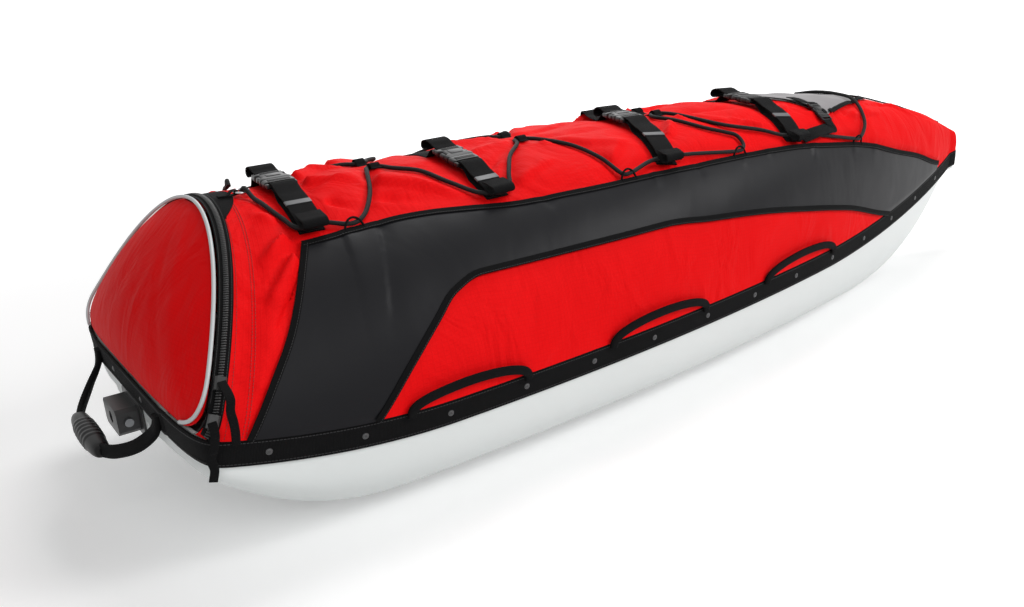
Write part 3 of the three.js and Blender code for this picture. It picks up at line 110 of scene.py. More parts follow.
def smooth_along(table: Table, at: np.ndarray) -> np.ndarray:
    """Reads a table of (place, value) rows with a curve that keeps the rows' rise and fall.

    Args:
        table: Rows in order of place.
        at: Places to read.

    Returns:
        The values at those places.
    """
    x = np.array([row[0] for row in table])
    y = np.array([row[1] for row in table])
    step = np.diff(x)
    slope = np.diff(y) / step
    tangent = np.zeros_like(x)
    tangent[0], tangent[-1] = slope[0], slope[-1]
    for i in range(1, len(x) - 1):
        if slope[i - 1] * slope[i] > 0:
            tangent[i] = 2 * slope[i - 1] * slope[i] / (slope[i - 1] + slope[i])
    at = np.clip(at, x[0], x[-1])
    i = np.clip(np.searchsorted(x, at, side="right") - 1, 0, len(x) - 2)
    t = (at - x[i]) / step[i]
    return ((1 + 2 * t) * (1 - t) ** 2 * y[i] + t * (1 - t) ** 2 * step[i] * tangent[i]
            + t * t * (3 - 2 * t) * y[i + 1] + t * t * (t - 1) * step[i] * tangent[i + 1])


def run_along(path: np.ndarray) -> np.ndarray:
    """Length run along a path up to each of its points."""
    return np.concatenate([[0], np.cumsum(np.linalg.norm(np.diff(path, axis=0), axis=1))])


def smooth_path(points: np.ndarray, count: int) -> np.ndarray:
    """Runs a centripetal curve through points and samples it at even lengths.

    Args:
        points: The points in order, one a row. Rows may hold more than three numbers.
        count: Number of steps.

    Returns:
        count + 1 samples.
    """
    points = np.asarray(points, dtype=float)
    first = 2 * points[0] - points[1]
    last = 2 * points[-1] - points[-2]
    knots = np.vstack([first, points, last])
    fine = []
    each = max(int(math.ceil(count * 4 / (len(points) - 1))), 6)
    for place in np.linspace(0, len(points) - 1, (len(points) - 1) * each + 1):
        i = min(int(place), len(points) - 2)
        t = place - i
        p = knots[i:i + 4]
        gap = [max(np.linalg.norm(p[k + 1][:3] - p[k][:3]) ** 0.5, 1e-5) for k in range(3)]
        out = ((p[1] - p[0]) / gap[0] - (p[2] - p[0]) / (gap[0] + gap[1]) + (p[2] - p[1]) / gap[1]) * gap[1]
        into = ((p[2] - p[1]) / gap[1] - (p[3] - p[1]) / (gap[1] + gap[2]) + (p[3] - p[2]) / gap[2]) * gap[1]
        fine.append((2 * t ** 3 - 3 * t ** 2 + 1) * p[1] + (t ** 3 - 2 * t ** 2 + t) * out
                    + (3 * t ** 2 - 2 * t ** 3) * p[2] + (t ** 3 - t ** 2) * into)
    fine = np.array(fine)
    run = run_along(fine[:, :3])
    at = np.linspace(0, run[-1], count + 1)
    return np.stack([np.interp(at, run, fine[:, k]) for k in range(fine.shape[1])], axis=1)


def distance_to_line(points: np.ndarray, line: np.ndarray) -> np.ndarray:
    """Measures how far each point lies from the nearest sample of a line.

    Args:
        points: The points, one a row.
        line: Samples of the line.

    Returns:
        One distance a point.
    """
    flat = points.reshape(-1, 3)
    nearest = np.empty(len(flat))
    for start in range(0, len(flat), 4000):
        part = flat[start:start + 4000]
        gap = part[:, None, :] - line[None, :, :]
        nearest[start:start + 4000] = np.sqrt((gap ** 2).sum(axis=2).min(axis=1))
    return nearest.reshape(points.shape[:-1])


def cloud(points: np.ndarray, scale: float, seed: float) -> np.ndarray:
    """Smooth noise between about -1 and 1 at points in metres.

    Args:
        points: The points.
        scale: Waves to the metre.
        seed: An offset that gives a different noise.

    Returns:
        One number a point.
    """
    flat = points.reshape(-1, 3) * scale + seed
    values = [noise.noise(Vector(point)) for point in flat]
    return np.array(values).reshape(points.shape[:-1])


# Lines of the sled, the same as in the part's solids


@dataclass(frozen=True)
class Lines:
    """The lines of hull and cover by station, in metres from the stern."""

    length: float = 1.680
    half_beam: float = 0.265
    rim_height: float = 0.112
    stern_corner: float = 0.040
    stem_half_width: float = 0.009
    stern_rise: float = 0.047
    bow_rise: float = 0.054
    stern_kick: float = 0.134
    bow_kick: float = 0.212
    keel_lip: float = 0.008
    band_width: float = 0.031
    band_flare: float = 0.005
    crown_height: float = 0.386
    crown_fall: float = 0.150
    arch_foot: float = 0.004
    arch_slope: float = 0.57
    arch_fade: float = 0.320
    start_x: float = field(default_factory=lambda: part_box("hull")[0][0])

    def half_width(self, station: np.ndarray) -> np.ndarray:
        """Half the hull's width at the rim.

        Args:
            station: Stations in metres.

        Returns:
            Half widths in metres.
        """
        share = station / self.length
        taper = np.clip((share - 0.15) / 0.85, 0, 1)
        body = self.half_beam * (1 - taper ** 2) ** 0.96
        corner = np.clip((self.stern_corner - np.maximum(station, 0.0015)) / self.stern_corner, 0, 1)
        return np.maximum(body * (1 - corner ** 4) ** 0.25, self.stem_half_width)

    def sheer(self, station: np.ndarray) -> np.ndarray:
        """Height of the band's lower edge.

        Args:
            station: Stations in metres.

        Returns:
            Heights in metres.
        """
        share = station / self.length
        aft = np.clip((0.19 - share) / 0.19, 0, 1)
        fore = np.clip((share - 0.65) / 0.35, 0, 1)
        return self.rim_height + self.stern_rise * aft ** 2 + self.bow_rise * fore ** 1.6

    def keel(self, station: np.ndarray) -> np.ndarray:
        """Height of the hull's bottom.

        Args:
            station: Stations in metres.

        Returns:
            Heights in metres.
        """
        share = station / self.length
        aft = np.clip((0.155 - share) / 0.155, 0, 1)
        fore = np.clip((share - 0.72) / 0.28, 0, 1)
        bottom = self.stern_kick * aft ** 2.35 + self.bow_kick * fore ** 2.5
        return np.minimum(bottom, self.sheer(station) - self.keel_lip)

    def rim_top(self, station: np.ndarray) -> np.ndarray:
        """Height of the band's upper edge."""
        return self.sheer(station) + self.band_width

    def crown(self, station: np.ndarray) -> np.ndarray:
        """Height of the cover's ridge."""
        fall = np.clip((station / self.length - 0.5) / 0.5, 0, 1)
        return self.crown_height - self.crown_fall * fall ** 2.6

    def cover_point(self, station: np.ndarray, angle: np.ndarray) -> np.ndarray:
        """A place on the cover: angle 0 is the starboard rim, a quarter turn the ridge.

        Args:
            station: Stations in metres.
            angle: Angles round the cover, in radians.

        Returns:
            One point a place.
        """
        station, angle = np.broadcast_arrays(np.asarray(station, float), np.asarray(angle, float))
        share = np.clip(station / self.length, 0, 1)
        side_power = 1.85 + 1.45 * share
        top_power = 1.3 + 2.7 * share
        cosine, sine = np.cos(angle), np.maximum(np.sin(angle), 0)
        half = self.half_width(station) + self.band_flare
        across = -np.sign(cosine) * half * np.abs(cosine) ** (2 / side_power)
        base = self.rim_top(station)
        up = base + (self.crown(station) - base) * sine ** (2 / top_power)
        return np.stack([self.start_x + station, across, up], axis=-1)

    def normal(self, station: np.ndarray, angle: np.ndarray) -> np.ndarray:
        """The way out of the cloth.

        Args:
            station: Stations in metres.
            angle: Angles round the cover, in radians.

        Returns:
            One unit vector a place.
        """
        station, angle = np.asarray(station), np.asarray(angle)
        fore = self.cover_point(station + PROBE, angle) - self.cover_point(station - PROBE, angle)
        high = (self.cover_point(station, np.minimum(angle + PROBE_ANGLE, math.pi))
                - self.cover_point(station, np.maximum(angle - PROBE_ANGLE, 0)))
        return unit(np.cross(fore, high))

    def on_cover(self, station: np.ndarray, angle: np.ndarray, lift: np.ndarray = 0.0) -> np.ndarray:
        """A place on the plain cover, lifted off it."""
        return self.cover_point(station, angle) + self.normal(station, angle) * np.asarray(lift)[..., None]

    def angle_at_height(self, station: np.ndarray, share: np.ndarray) -> np.ndarray:
        """Starboard angle at a share of the cover's height."""
        top_power = 1.3 + 2.7 * np.clip(np.asarray(station) / self.length, 0, 1)
        return np.arcsin(np.clip(share, 0, 1) ** (top_power / 2))

    def angle_at_across(self, station: np.ndarray, across: np.ndarray) -> np.ndarray:
        """Angle at a signed share of the half width, below 0 for starboard.

        Args:
            station: Stations in metres.
            across: Signed shares of the half width.

        Returns:
            Angles in radians.
        """
        side_power = 1.85 + 1.45 * np.clip(np.asarray(station) / self.length, 0, 1)
        angle = np.arccos(np.minimum(np.abs(across), 1) ** (side_power / 2))
        return np.where(np.asarray(across) <= 0, angle, math.pi - angle)

    def angle_at_distance(self, station: np.ndarray, distance: np.ndarray) -> np.ndarray:
        """Angle at a distance from the ridge, in metres across."""
        return self.angle_at_across(station, distance / (self.half_width(station) + self.band_flare))

    def arch_station(self, start: np.ndarray, angle: np.ndarray) -> np.ndarray:
        """Station of the leaning arch that starts at the rim at start.

        Args:
            start: Station of the arch's feet.
            angle: Angles round the cover, in radians.

        Returns:
            Stations in metres.
        """
        start, angle = np.broadcast_arrays(np.asarray(start, float), np.asarray(angle, float))
        slope = self.arch_slope * (1 - np.clip((start - self.arch_foot) / self.arch_fade, 0, 1))
        station = start.copy()
        for _ in range(8):
            station = start + slope * (self.cover_point(station, angle)[..., 2] - self.rim_top(start))
        return station


LINES = Lines()


@dataclass(frozen=True)
class PanelCut:
    """The cut of a side panel, as shares of the length and of the cover's height."""

    top: Table = ((0.117, 0.8), (0.2, 0.83), (0.3, 0.79), (0.45, 0.78), (0.6, 0.75), (0.67, 0.71),
                  (0.73, 0.66), (0.8, 0.54), (0.86, 0.42), (0.93, 0.14))
    aft: Table = ((0.034, 0.001), (0.06, 0.26), (0.08, 0.44), (0.107, 0.71), (0.117, 0.8))
    insert: Table = ((0.123, 0.001), (0.155, 0.22), (0.186, 0.4), (0.206, 0.5), (0.232, 0.55), (0.414, 0.54),
                     (0.468, 0.5), (0.53, 0.45), (0.6, 0.37), (0.685, 0.25), (0.78, 0.001))
    rim: float = 0.001

    def top_at(self, share: np.ndarray) -> np.ndarray:
        """Height share of the panel's upper edge."""
        share = np.asarray(share, float)
        return np.where(share < self.top[0][0], smooth_along(self.aft, share), smooth_along(self.top, share))

    def low_at(self, share: np.ndarray) -> np.ndarray:
        """Height share of the panel's lower edge.

        Args:
            share: Share of the length.

        Returns:
            Shares of the cover's height.
        """
        share = np.asarray(share, float)
        inside = (share > self.insert[0][0]) & (share < self.insert[-1][0])
        return np.where(inside, smooth_along(self.insert, share), self.rim)

    def seam_height(self, share: float) -> float:
        """Height share of the upper edge, straight from row to row as the solids' seats are."""
        return float(np.interp(share, [row[0] for row in self.top], [row[1] for row in self.top]))


PANEL = PanelCut()


# The cord's route, the same places as in the part's solids


class Hold(Enum):
    """What the lacing runs over at a place."""

    OPEN = "open cloth"
    EDGE = "edge loop"
    STRAP = "under a strap's tail"
    RIDGE = "ridge tab"


@dataclass(frozen=True)
class Route:
    """The lacing's route: what it runs over, shares of the length and half width, and lift in cord lifts."""

    lift: float = 0.0044
    edge_lift: float = 0.007
    edge_height: float = 0.010
    strap_lift: float = 0.0067
    strap_height: float = 0.024
    apex_offset: float = 0.022
    apex_half_run: float = 0.009
    edge_half_run: float = 0.006
    loops: Sequence[float] = (0.1565, 0.4, 0.5325, 0.7155)
    tabs: Sequence[float] = (0.2125, 0.3555, 0.511)
    places: Sequence[tuple] = (
        (Hold.OPEN, 0.1024, -0.085, 1.4), (Hold.OPEN, 0.1033, -0.112, 2.8), (Hold.OPEN, 0.1043, -0.14, 2.1),
        (Hold.OPEN, 0.1056, -0.175, 1.1), (Hold.OPEN, 0.1077, -0.25, 1), (Hold.OPEN, 0.113, -0.385, 1.1),
        (Hold.STRAP, 0.1185), (Hold.STRAP, 0.137), (Hold.EDGE, 0.1565),
        (Hold.OPEN, 0.17, -0.49, 1.2), (Hold.OPEN, 0.186, -0.36, 1), (Hold.OPEN, 0.2015, -0.15, 1.1),
        (Hold.RIDGE, 0.2125), (Hold.OPEN, 0.2235, -0.15, 1.1), (Hold.OPEN, 0.239, -0.25, 1),
        (Hold.OPEN, 0.25, -0.43, 1.1), (Hold.STRAP, 0.266), (Hold.STRAP, 0.288),
        (Hold.OPEN, 0.303, -0.46, 1.1), (Hold.OPEN, 0.321, -0.31, 1), (Hold.OPEN, 0.3445, -0.16, 1.1),
        (Hold.RIDGE, 0.3555), (Hold.OPEN, 0.3665, -0.16, 1.1), (Hold.OPEN, 0.3815, -0.36, 1),
        (Hold.OPEN, 0.39, -0.54, 1.2), (Hold.EDGE, 0.4), (Hold.STRAP, 0.434), (Hold.STRAP, 0.466),
        (Hold.EDGE, 0.5325), (Hold.OPEN, 0.5445, -0.72, 1.3), (Hold.OPEN, 0.5455, -0.65, 1.2),
        (Hold.OPEN, 0.537, -0.6, 1.2), (Hold.OPEN, 0.523, -0.52, 1.1), (Hold.OPEN, 0.507, -0.32, 1),
        (Hold.OPEN, 0.5, -0.19, 1.1), (Hold.RIDGE, 0.511), (Hold.OPEN, 0.522, -0.19, 1.1),
        (Hold.OPEN, 0.5458, -0.53, 1.1), (Hold.OPEN, 0.58, -0.66, 1.2), (Hold.STRAP, 0.603),
        (Hold.STRAP, 0.627), (Hold.EDGE, 0.7155), (Hold.OPEN, 0.744, -0.79, 1.5),
        (Hold.OPEN, 0.762, -0.49, 2),
    )
    ends: Sequence[tuple] = ((Hold.OPEN, 0.7665, -0.18, 2), (Hold.OPEN, 0.7665, 0.18, 2),
                             (Hold.OPEN, 0.762, 0.46, 2))

    def above_edge(self, share: float, distance: float) -> float:
        """Angle of a place that lies a distance above the panel's upper edge.

        Args:
            share: Share of the length.
            distance: The distance in metres.

        Returns:
            The angle in radians.
        """
        station = share * LINES.length
        edge = float(LINES.angle_at_height(station, PANEL.seam_height(share)))
        ends = LINES.cover_point(station, edge + PROBE_ANGLE) - LINES.cover_point(station, edge - PROBE_ANGLE)
        return edge + distance * 2 * PROBE_ANGLE / float(np.linalg.norm(ends))

    def spots(self, places: Iterable[tuple]) -> list[tuple[float, float, float]]:
        """Turns route rows into (station, angle, lift) spots.

        Args:
            places: Rows of the route.

        Returns:
            The spots in order.
        """
        spots = []
        for kind, share, *rest in places:
            station = share * LINES.length
            if kind is Hold.EDGE:
                for run in (-self.edge_half_run, self.edge_half_run):
                    at = share + run / LINES.length
                    spots.append((station + run, self.above_edge(at, self.edge_height), self.edge_lift))
            elif kind is Hold.RIDGE:
                for run in (-self.apex_half_run, self.apex_half_run):
                    angle = float(LINES.angle_at_distance(station, -self.apex_offset))
                    spots.append((station + run, angle, self.lift))
            elif kind is Hold.STRAP:
                spots.append((station, self.above_edge(share, self.strap_height), self.strap_lift))
            else:
                spots.append((station, float(LINES.angle_at_across(station, rest[0])), self.lift * rest[1]))
        return spots

    def rows(self, side: Side) -> list[tuple]:
        """The route rows of one side: the port side's ends at its last edge loop.

        Args:
            side: Which side.

        Returns:
            The rows in order.
        """
        if side is Side.STARBOARD:
            return [*self.places, *self.ends]
        last = next(i for i, row in enumerate(self.places) if row[1] == self.loops[-1])
        return list(self.places[:last + 1])

    def points(self, side: Side, place: Callable) -> np.ndarray:
        """The route's points for one side.

        Args:
            side: Which side.
            place: Gives the point for a station, an angle and a lift.

        Returns:
            One point a row.
        """
        spots = self.spots(self.rows(side))
        if side is Side.PORT:
            spots = [(station, math.pi - angle, lift) for station, angle, lift in spots]
        return np.array([place(station, angle, lift) for station, angle, lift in spots])


ROUTE = Route()


@dataclass(frozen=True)
class StrapLayout:
    """Where the four cross straps and their buckles lie."""

    edge_shares: Sequence[float] = (0.1275, 0.278, 0.449, 0.6155)
    ridge_shares: Sequence[float] = (0.133, 0.279, 0.476, 0.6275)
    buckle_shares: Sequence[float] = (0.06, 0.25, 0.105, 0.15)
    edge_rise: float = 0.04
    width: float = 0.033
    thickness: float = 0.0018
    lift: float = 0.0014
    tail_lift: float = 0.012
    end_radius: float = 0.006
    buckle_lift: float = 0.0022
    buckle_height: float = 0.011
    socket_length: float = 0.046
    plug_length: float = 0.024
    entry: float = 0.007
    bar_gap: float = 0.0027

    def edge_angle(self, i: int) -> float:
        """Angle at which strap i is sewn to the starboard panel's edge."""
        return self.seam_angle(self.edge_shares[i])

    def seam_angle(self, share: float) -> float:
        """Starboard angle of a place just above the panel's edge, where a strap is sewn on."""
        return float(LINES.angle_at_height(share * LINES.length, PANEL.seam_height(share) + self.edge_rise))

    def station(self, i: int, angle: np.ndarray) -> np.ndarray:
        """Station of strap i at an angle.

        Args:
            i: The strap's number, from 0.
            angle: Angles round the cover, in radians.

        Returns:
            Stations in metres.
        """
        reach = (QUARTER_TURN - np.asarray(angle)) / (QUARTER_TURN - self.edge_angle(i))
        ridge = self.ridge_shares[i]
        return (ridge + (self.edge_shares[i] - ridge) * reach) * LINES.length

    def frame(self, i: int) -> Matrix:
        """Buckle i's frame: X along the sled, Y across towards port, Z off the cloth.

        Args:
            i: The strap's number, from 0.

        Returns:
            The frame.
        """
        middle = -self.buckle_shares[i] * LINES.half_beam
        angle = float(LINES.angle_at_distance(self.ridge_shares[i] * LINES.length, middle))
        station = float(self.station(i, angle))
        normal = LINES.normal(station, angle)
        ends = [LINES.cover_point(self.station(i, angle + d), angle + d) for d in (PROBE_ANGLE, -PROBE_ANGLE)]
        across = ends[0] - ends[1]
        across = unit(across - normal * (across @ normal))
        origin = LINES.on_cover(station, angle, self.buckle_lift + self.buckle_height / 2)
        return basis(np.cross(across, normal), across, normal, origin)

    def angle_at(self, i: int, across: float) -> float:
        """Angle of a place that lies a distance across from buckle i's middle."""
        from_ridge = across - self.buckle_shares[i] * LINES.half_beam
        return float(LINES.angle_at_distance(self.ridge_shares[i] * LINES.length, from_ridge))


STRAPS = StrapLayout()


# Folds of the cover's cloth


@dataclass(frozen=True)
class Fold:
    """A fold that starts strong and dies out, steep on its lower side and gentle on its upper one.

    Its ends are shares of the length and turns up the cover, where 0 is the rim and 1 the ridge. Height and
    width are in metres, and a height below zero is a valley.
    """

    start: tuple[float, float]
    end: tuple[float, float]
    height: float
    width: float
    crispness: float = 1.9
    steep_share: float = 0.33
    gentle_share: float = 1.15

    def lift(self, points: np.ndarray) -> np.ndarray:
        """How much the fold lifts the cloth at points.

        Args:
            points: The points, one a row.

        Returns:
            Lifts in metres.
        """
        ends = [LINES.cover_point(share * LINES.length, turn * QUARTER_TURN)
                for share, turn in (self.start, self.end)]
        run = ends[1] - ends[0]
        share = np.clip(((points - ends[0]) @ run) / (run @ run), 0, 1)
        gap = points - ends[0] - share[..., None] * run
        middle = LINES.normal((self.start[0] + self.end[0]) / 2 * LINES.length,
                              (self.start[1] + self.end[1]) / 2 * QUARTER_TURN)
        sign = gap @ np.cross(unit(run), middle)
        width = np.where(sign > 0, self.width * self.steep_share, self.width * self.gentle_share)
        distance = np.linalg.norm(gap, axis=-1)
        fade = smooth_step(0, 0.12, share) * (1 - 0.75 * share) * (1 - smooth_step(0.8, 1.0, share) * 0.8)
        return self.crispness * self.height * fade * np.exp(-(distance / width) ** 2)


@dataclass(frozen=True)
class Relief:
    """How the cloth departs from the plain cover: folds, puffs between straps, dips under them and cords.

    Heights and reaches are in metres, and waves are counted to the metre.
    """

    puff: float = 0.0035
    strap_dip: float = 0.003
    strap_reach: float = 0.030
    cord_dip: float = 0.0012
    strap_clear: float = 0.055
    cord_flat: float = 0.013
    cord_reach: float = 0.007
    broad: float = 0.0042
    broad_waves: float = 9.0
    small: float = 0.0016
    small_waves: float = 26.0
    lowest: float = -0.010
    highest: float = 0.014
    folds: Sequence[Fold] = (
        Fold((0.107, 0.60), (0.072, 0.46), 0.0105, 0.013), Fold((0.108, 0.68), (0.074, 0.58), 0.0080, 0.011),
        Fold((0.102, 0.52), (0.070, 0.38), -0.0075, 0.009), Fold((0.095, 0.43), (0.066, 0.30), 0.0075, 0.009),
        Fold((0.086, 0.33), (0.062, 0.22), 0.0055, 0.008), Fold((0.078, 0.24), (0.058, 0.15), -0.004, 0.007),
        Fold((0.075, 0.13), (0.055, 0.11), 0.0022, 0.006), Fold((0.112, 0.76), (0.086, 0.82), 0.0065, 0.011),
        Fold((0.150, 0.96), (0.196, 0.86), 0.0062, 0.014), Fold((0.196, 0.88), (0.182, 0.70), 0.0058, 0.010),
        Fold((0.184, 0.86), (0.268, 0.64), 0.0090, 0.016), Fold((0.176, 0.76), (0.262, 0.60), -0.0068, 0.011),
        Fold((0.150, 0.80), (0.178, 0.66), -0.004, 0.010), Fold((0.214, 0.92), (0.262, 0.80), -0.004, 0.012),
        Fold((0.290, 0.90), (0.336, 0.97), 0.0056, 0.013), Fold((0.292, 0.78), (0.332, 0.90), -0.0045, 0.010),
        Fold((0.300, 0.66), (0.350, 0.74), 0.004, 0.014), Fold((0.358, 0.90), (0.430, 0.72), 0.0055, 0.020),
        Fold((0.358, 0.96), (0.440, 0.93), -0.0035, 0.013), Fold((0.392, 0.64), (0.440, 0.80), 0.004, 0.013),
        Fold((0.462, 0.68), (0.505, 0.84), 0.0056, 0.014), Fold((0.468, 0.86), (0.505, 0.94), -0.004, 0.010),
        Fold((0.508, 0.90), (0.474, 0.72), 0.0048, 0.012), Fold((0.514, 0.90), (0.560, 0.70), 0.0062, 0.013),
        Fold((0.514, 0.94), (0.600, 0.84), -0.0045, 0.012), Fold((0.530, 0.66), (0.585, 0.74), -0.003, 0.010),
        Fold((0.590, 0.64), (0.560, 0.78), 0.0042, 0.011), Fold((0.634, 0.70), (0.660, 0.84), 0.005, 0.012),
        Fold((0.700, 0.62), (0.660, 0.70), 0.0045, 0.010), Fold((0.716, 0.60), (0.760, 0.74), -0.0035, 0.010),
        Fold((0.722, 0.58), (0.800, 0.62), 0.0045, 0.013), Fold((0.835, 0.86), (0.775, 0.72), -0.004, 0.011),
        Fold((0.835, 0.80), (0.880, 0.60), 0.0035, 0.011), Fold((0.880, 0.70), (0.930, 0.60), -0.0025, 0.010),
        Fold((0.215, 0.96), (0.150, 0.88), 0.004, 0.012), Fold((0.350, 0.98), (0.300, 0.90), 0.0036, 0.012),
    )

    panel_folds: Sequence[Fold] = (
        Fold((0.150, 0.70), (0.130, 0.20), 0.0016, 0.016), Fold((0.176, 0.66), (0.150, 0.30), -0.0014, 0.014),
        Fold((0.262, 0.70), (0.272, 0.50), 0.0016, 0.014), Fold((0.300, 0.66), (0.318, 0.50), -0.0012, 0.012),
        Fold((0.430, 0.66), (0.424, 0.46), 0.0020, 0.011), Fold((0.452, 0.66), (0.448, 0.44), 0.0024, 0.009),
        Fold((0.470, 0.64), (0.478, 0.44), -0.0018, 0.010), Fold((0.540, 0.62), (0.532, 0.42), 0.0020, 0.010),
        Fold((0.562, 0.62), (0.572, 0.42), 0.0014, 0.009), Fold((0.640, 0.58), (0.634, 0.34), 0.0024, 0.011),
        Fold((0.664, 0.58), (0.690, 0.36), -0.0018, 0.012), Fold((0.716, 0.56), (0.706, 0.30), 0.0022, 0.012),
        Fold((0.760, 0.52), (0.744, 0.26), 0.0016, 0.014), Fold((0.815, 0.44), (0.800, 0.20), -0.0012, 0.014),
    )

    def at(self, station: np.ndarray, angle: np.ndarray) -> np.ndarray:
        """The cloth's lift off the plain cover.

        Args:
            station: Stations in metres.
            angle: Angles round the cover.

        Returns:
            Lifts in metres.
        """
        station, angle = np.broadcast_arrays(np.asarray(station, float), np.asarray(angle, float))
        mirrored = np.where(angle > QUARTER_TURN, math.pi - angle, angle)
        points = LINES.cover_point(station, mirrored)
        true_points = LINES.cover_point(station, angle)
        share = np.clip(station / LINES.length, 0, 1)
        rim = LINES.rim_top(station)
        height = (points[..., 2] - rim) / np.maximum(LINES.crown(station) - rim, 0.01)
        above = smooth_step(0.0, 0.09, height - PANEL.top_at(share) - 0.015)
        aft = 1 - smooth_step(0.105, 0.125, share)
        loose = np.maximum(above, aft * smooth_step(0.0, 0.007, 0.117 + (height - 0.8) * 0.115 - share))
        start = station - LINES.arch_slope * (points[..., 2] - rim)
        edges = smooth_step(0.026, 0.055, start) * smooth_step(0.02, 0.12, height)
        edges = edges * (1 - 0.8 * smooth_step(0.9, 0.99, share))
        between, dip = self.by_straps(station, mirrored)
        raised = self.puff * between * above
        for fold in self.folds:
            raised = raised + fold.lift(points) * loose
        on_panel = (1 - loose) * smooth_step(0.03, 0.12, share)
        for fold in self.panel_folds:
            raised = raised + fold.lift(points) * on_panel
        raised = raised + self.broad * cloud(true_points, self.broad_waves, 3.7) * (0.28 + 0.72 * loose)
        raised = raised + self.small * cloud(true_points, self.small_waves, 11.3) * (0.2 + 0.8 * loose)
        cords = np.minimum(*(distance_to_line(true_points, line) for line in cord_lines()))
        raised *= 1 - 0.9 * np.exp(-(cords / self.cord_flat) ** 2)
        raised *= 1 - 0.85 * np.minimum(dip, 1)
        pressed = self.strap_dip * dip + self.cord_dip * np.exp(-(cords / self.cord_reach) ** 2)
        raised -= pressed * above
        return np.clip(raised, self.lowest, self.highest) * edges

    def by_straps(self, station: np.ndarray, angle: np.ndarray) -> tuple[np.ndarray, np.ndarray]:
        """How clear of the straps the cloth is, and how far it lies under them.

        Args:
            station: Stations in metres.
            angle: Angles round the cover, in radians.

        Returns:
            Two shares a place.
        """
        between, under = np.ones_like(station), np.zeros_like(station)
        for i in range(4):
            gap = np.abs(station - STRAPS.station(i, angle))
            between *= 1 - np.exp(-(gap / self.strap_clear) ** 2)
            under += np.exp(-(gap / self.strap_reach) ** 4)
        return between, under


_cord_lines: list[np.ndarray] = []


def cord_lines() -> list[np.ndarray]:
    """The two lacing cords' middle lines on the plain cover, worked out once.

    Returns:
        The samples of each cord.
    """
    if not _cord_lines:
        for side in Side:
            plain = ROUTE.points(side, lambda at, angle, lift: LINES.on_cover(at, angle, lift * 0.3))
            _cord_lines.append(smooth_path(plain, 320))
    return _cord_lines


RELIEF = Relief()


def on_cloth(station: np.ndarray, angle: np.ndarray, lift: np.ndarray = 0.0) -> np.ndarray:
    """A place on the folded cloth, lifted off it."""
    return LINES.on_cover(station, angle, RELIEF.at(station, angle) + lift)


# Making meshes


def grid_lengths(places: np.ndarray, columns: np.ndarray, rows: np.ndarray) -> np.ndarray:
    """Measures how far each vertex of a grid lies along its two ways.

    Args:
        places: Points of the grid's vertices.
        columns: Column number of each vertex.
        rows: Row number of each vertex.

    Returns:
        Two lengths in metres a vertex.
    """
    table = np.zeros((rows.max() + 1, columns.max() + 1, 3))
    table[rows, columns] = places
    middle = table.shape[0] // 2
    down = np.cumsum(np.linalg.norm(np.diff(table, axis=0), axis=2), axis=0)
    down = np.vstack([np.zeros((1, table.shape[1])), down])
    down -= down[middle]
    return np.stack([run_along(table[middle])[columns], down[rows, columns]], axis=1)


def grid_mesh(columns: int, rows: int, place: Place) -> bmesh.types.BMesh:
    """Makes a grid, moves its vertices to their places and gives it lengths in metres as its UV map.

    Args:
        columns: Faces along the first way.
        rows: Faces along the second way.
        place: Gives the points for two arrays of shares from 0 to 1.

    Returns:
        The new mesh.
    """
    mesh = bmesh.new()
    bmesh.ops.create_grid(mesh, x_segments=columns, y_segments=rows, size=1.0)
    mesh.verts.ensure_lookup_table()
    flat = np.array([vert.co[:2] for vert in mesh.verts])
    u, v = (flat[:, 0] + 1) / 2, (flat[:, 1] + 1) / 2
    points = place(u, v)
    column_ids = np.unique(np.round(u, 6), return_inverse=True)[1]
    row_ids = np.unique(np.round(v, 6), return_inverse=True)[1]
    lengths = grid_lengths(points, column_ids, row_ids)
    for vert, point in zip(mesh.verts, points):
        vert.co = point
    layer = mesh.loops.layers.uv.new("cloth")
    for face in mesh.faces:
        for loop in face.loops:
            loop[layer].uv = lengths[loop.vert.index]
    return mesh


def sheet_mesh(columns: int, rows: int, place: Place) -> bmesh.types.BMesh:
    """The same grid with its faces turned one way, for an open sheet.

    Args:
        columns: Faces along the first way.
        rows: Faces along the second way.
        place: Gives the points for two arrays of shares.

    Returns:
        The new mesh.
    """
    mesh = grid_mesh(columns, rows, place)
    bmesh.ops.recalc_face_normals(mesh, faces=mesh.faces)
    return mesh


def flat_section(width: float, thickness: float) -> np.ndarray:
    """Outline of a woven band: flat, with rounded edges.

    Args:
        width: Width in metres.
        thickness: Thickness in metres.

    Returns:
        The outline, its last point the same as its first.
    """
    x, y = width / 2, thickness / 2
    corner = min(y * 0.9, x * 0.5)
    turns = np.radians([-90, -45, 0, 45, 90])
    right = [(x - corner + corner * math.cos(turn), corner * math.sin(turn) + (y - corner) * np.sign(turn))
             for turn in turns]
    across = [(share * (x - corner), y) for share in (0.5, 0.0, -0.5)]
    upper = [*right, *across]
    lower = [(-px, -py) for px, py in upper]
    ring = [*upper, *lower]
    return np.array([*ring, ring[0]])


def oval_section(width: float, thickness: float, sides: int = 16, power: float = 2.0) -> np.ndarray:
    """Outline of a cord or a padded strap.

    Args:
        width: Width in metres.
        thickness: Thickness in metres.
        sides: Number of its corners.
        power: 2 for an ellipse, more for a squarer outline.

    Returns:
        The outline, its last point the same as its first.
    """
    turns = np.linspace(0, 2 * math.pi, sides + 1)
    cosine, sine = np.cos(turns), np.sin(turns)
    return np.stack([np.sign(cosine) * np.abs(cosine) ** (2 / power) * width / 2,
                     np.sign(sine) * np.abs(sine) ** (2 / power) * thickness / 2], axis=1)


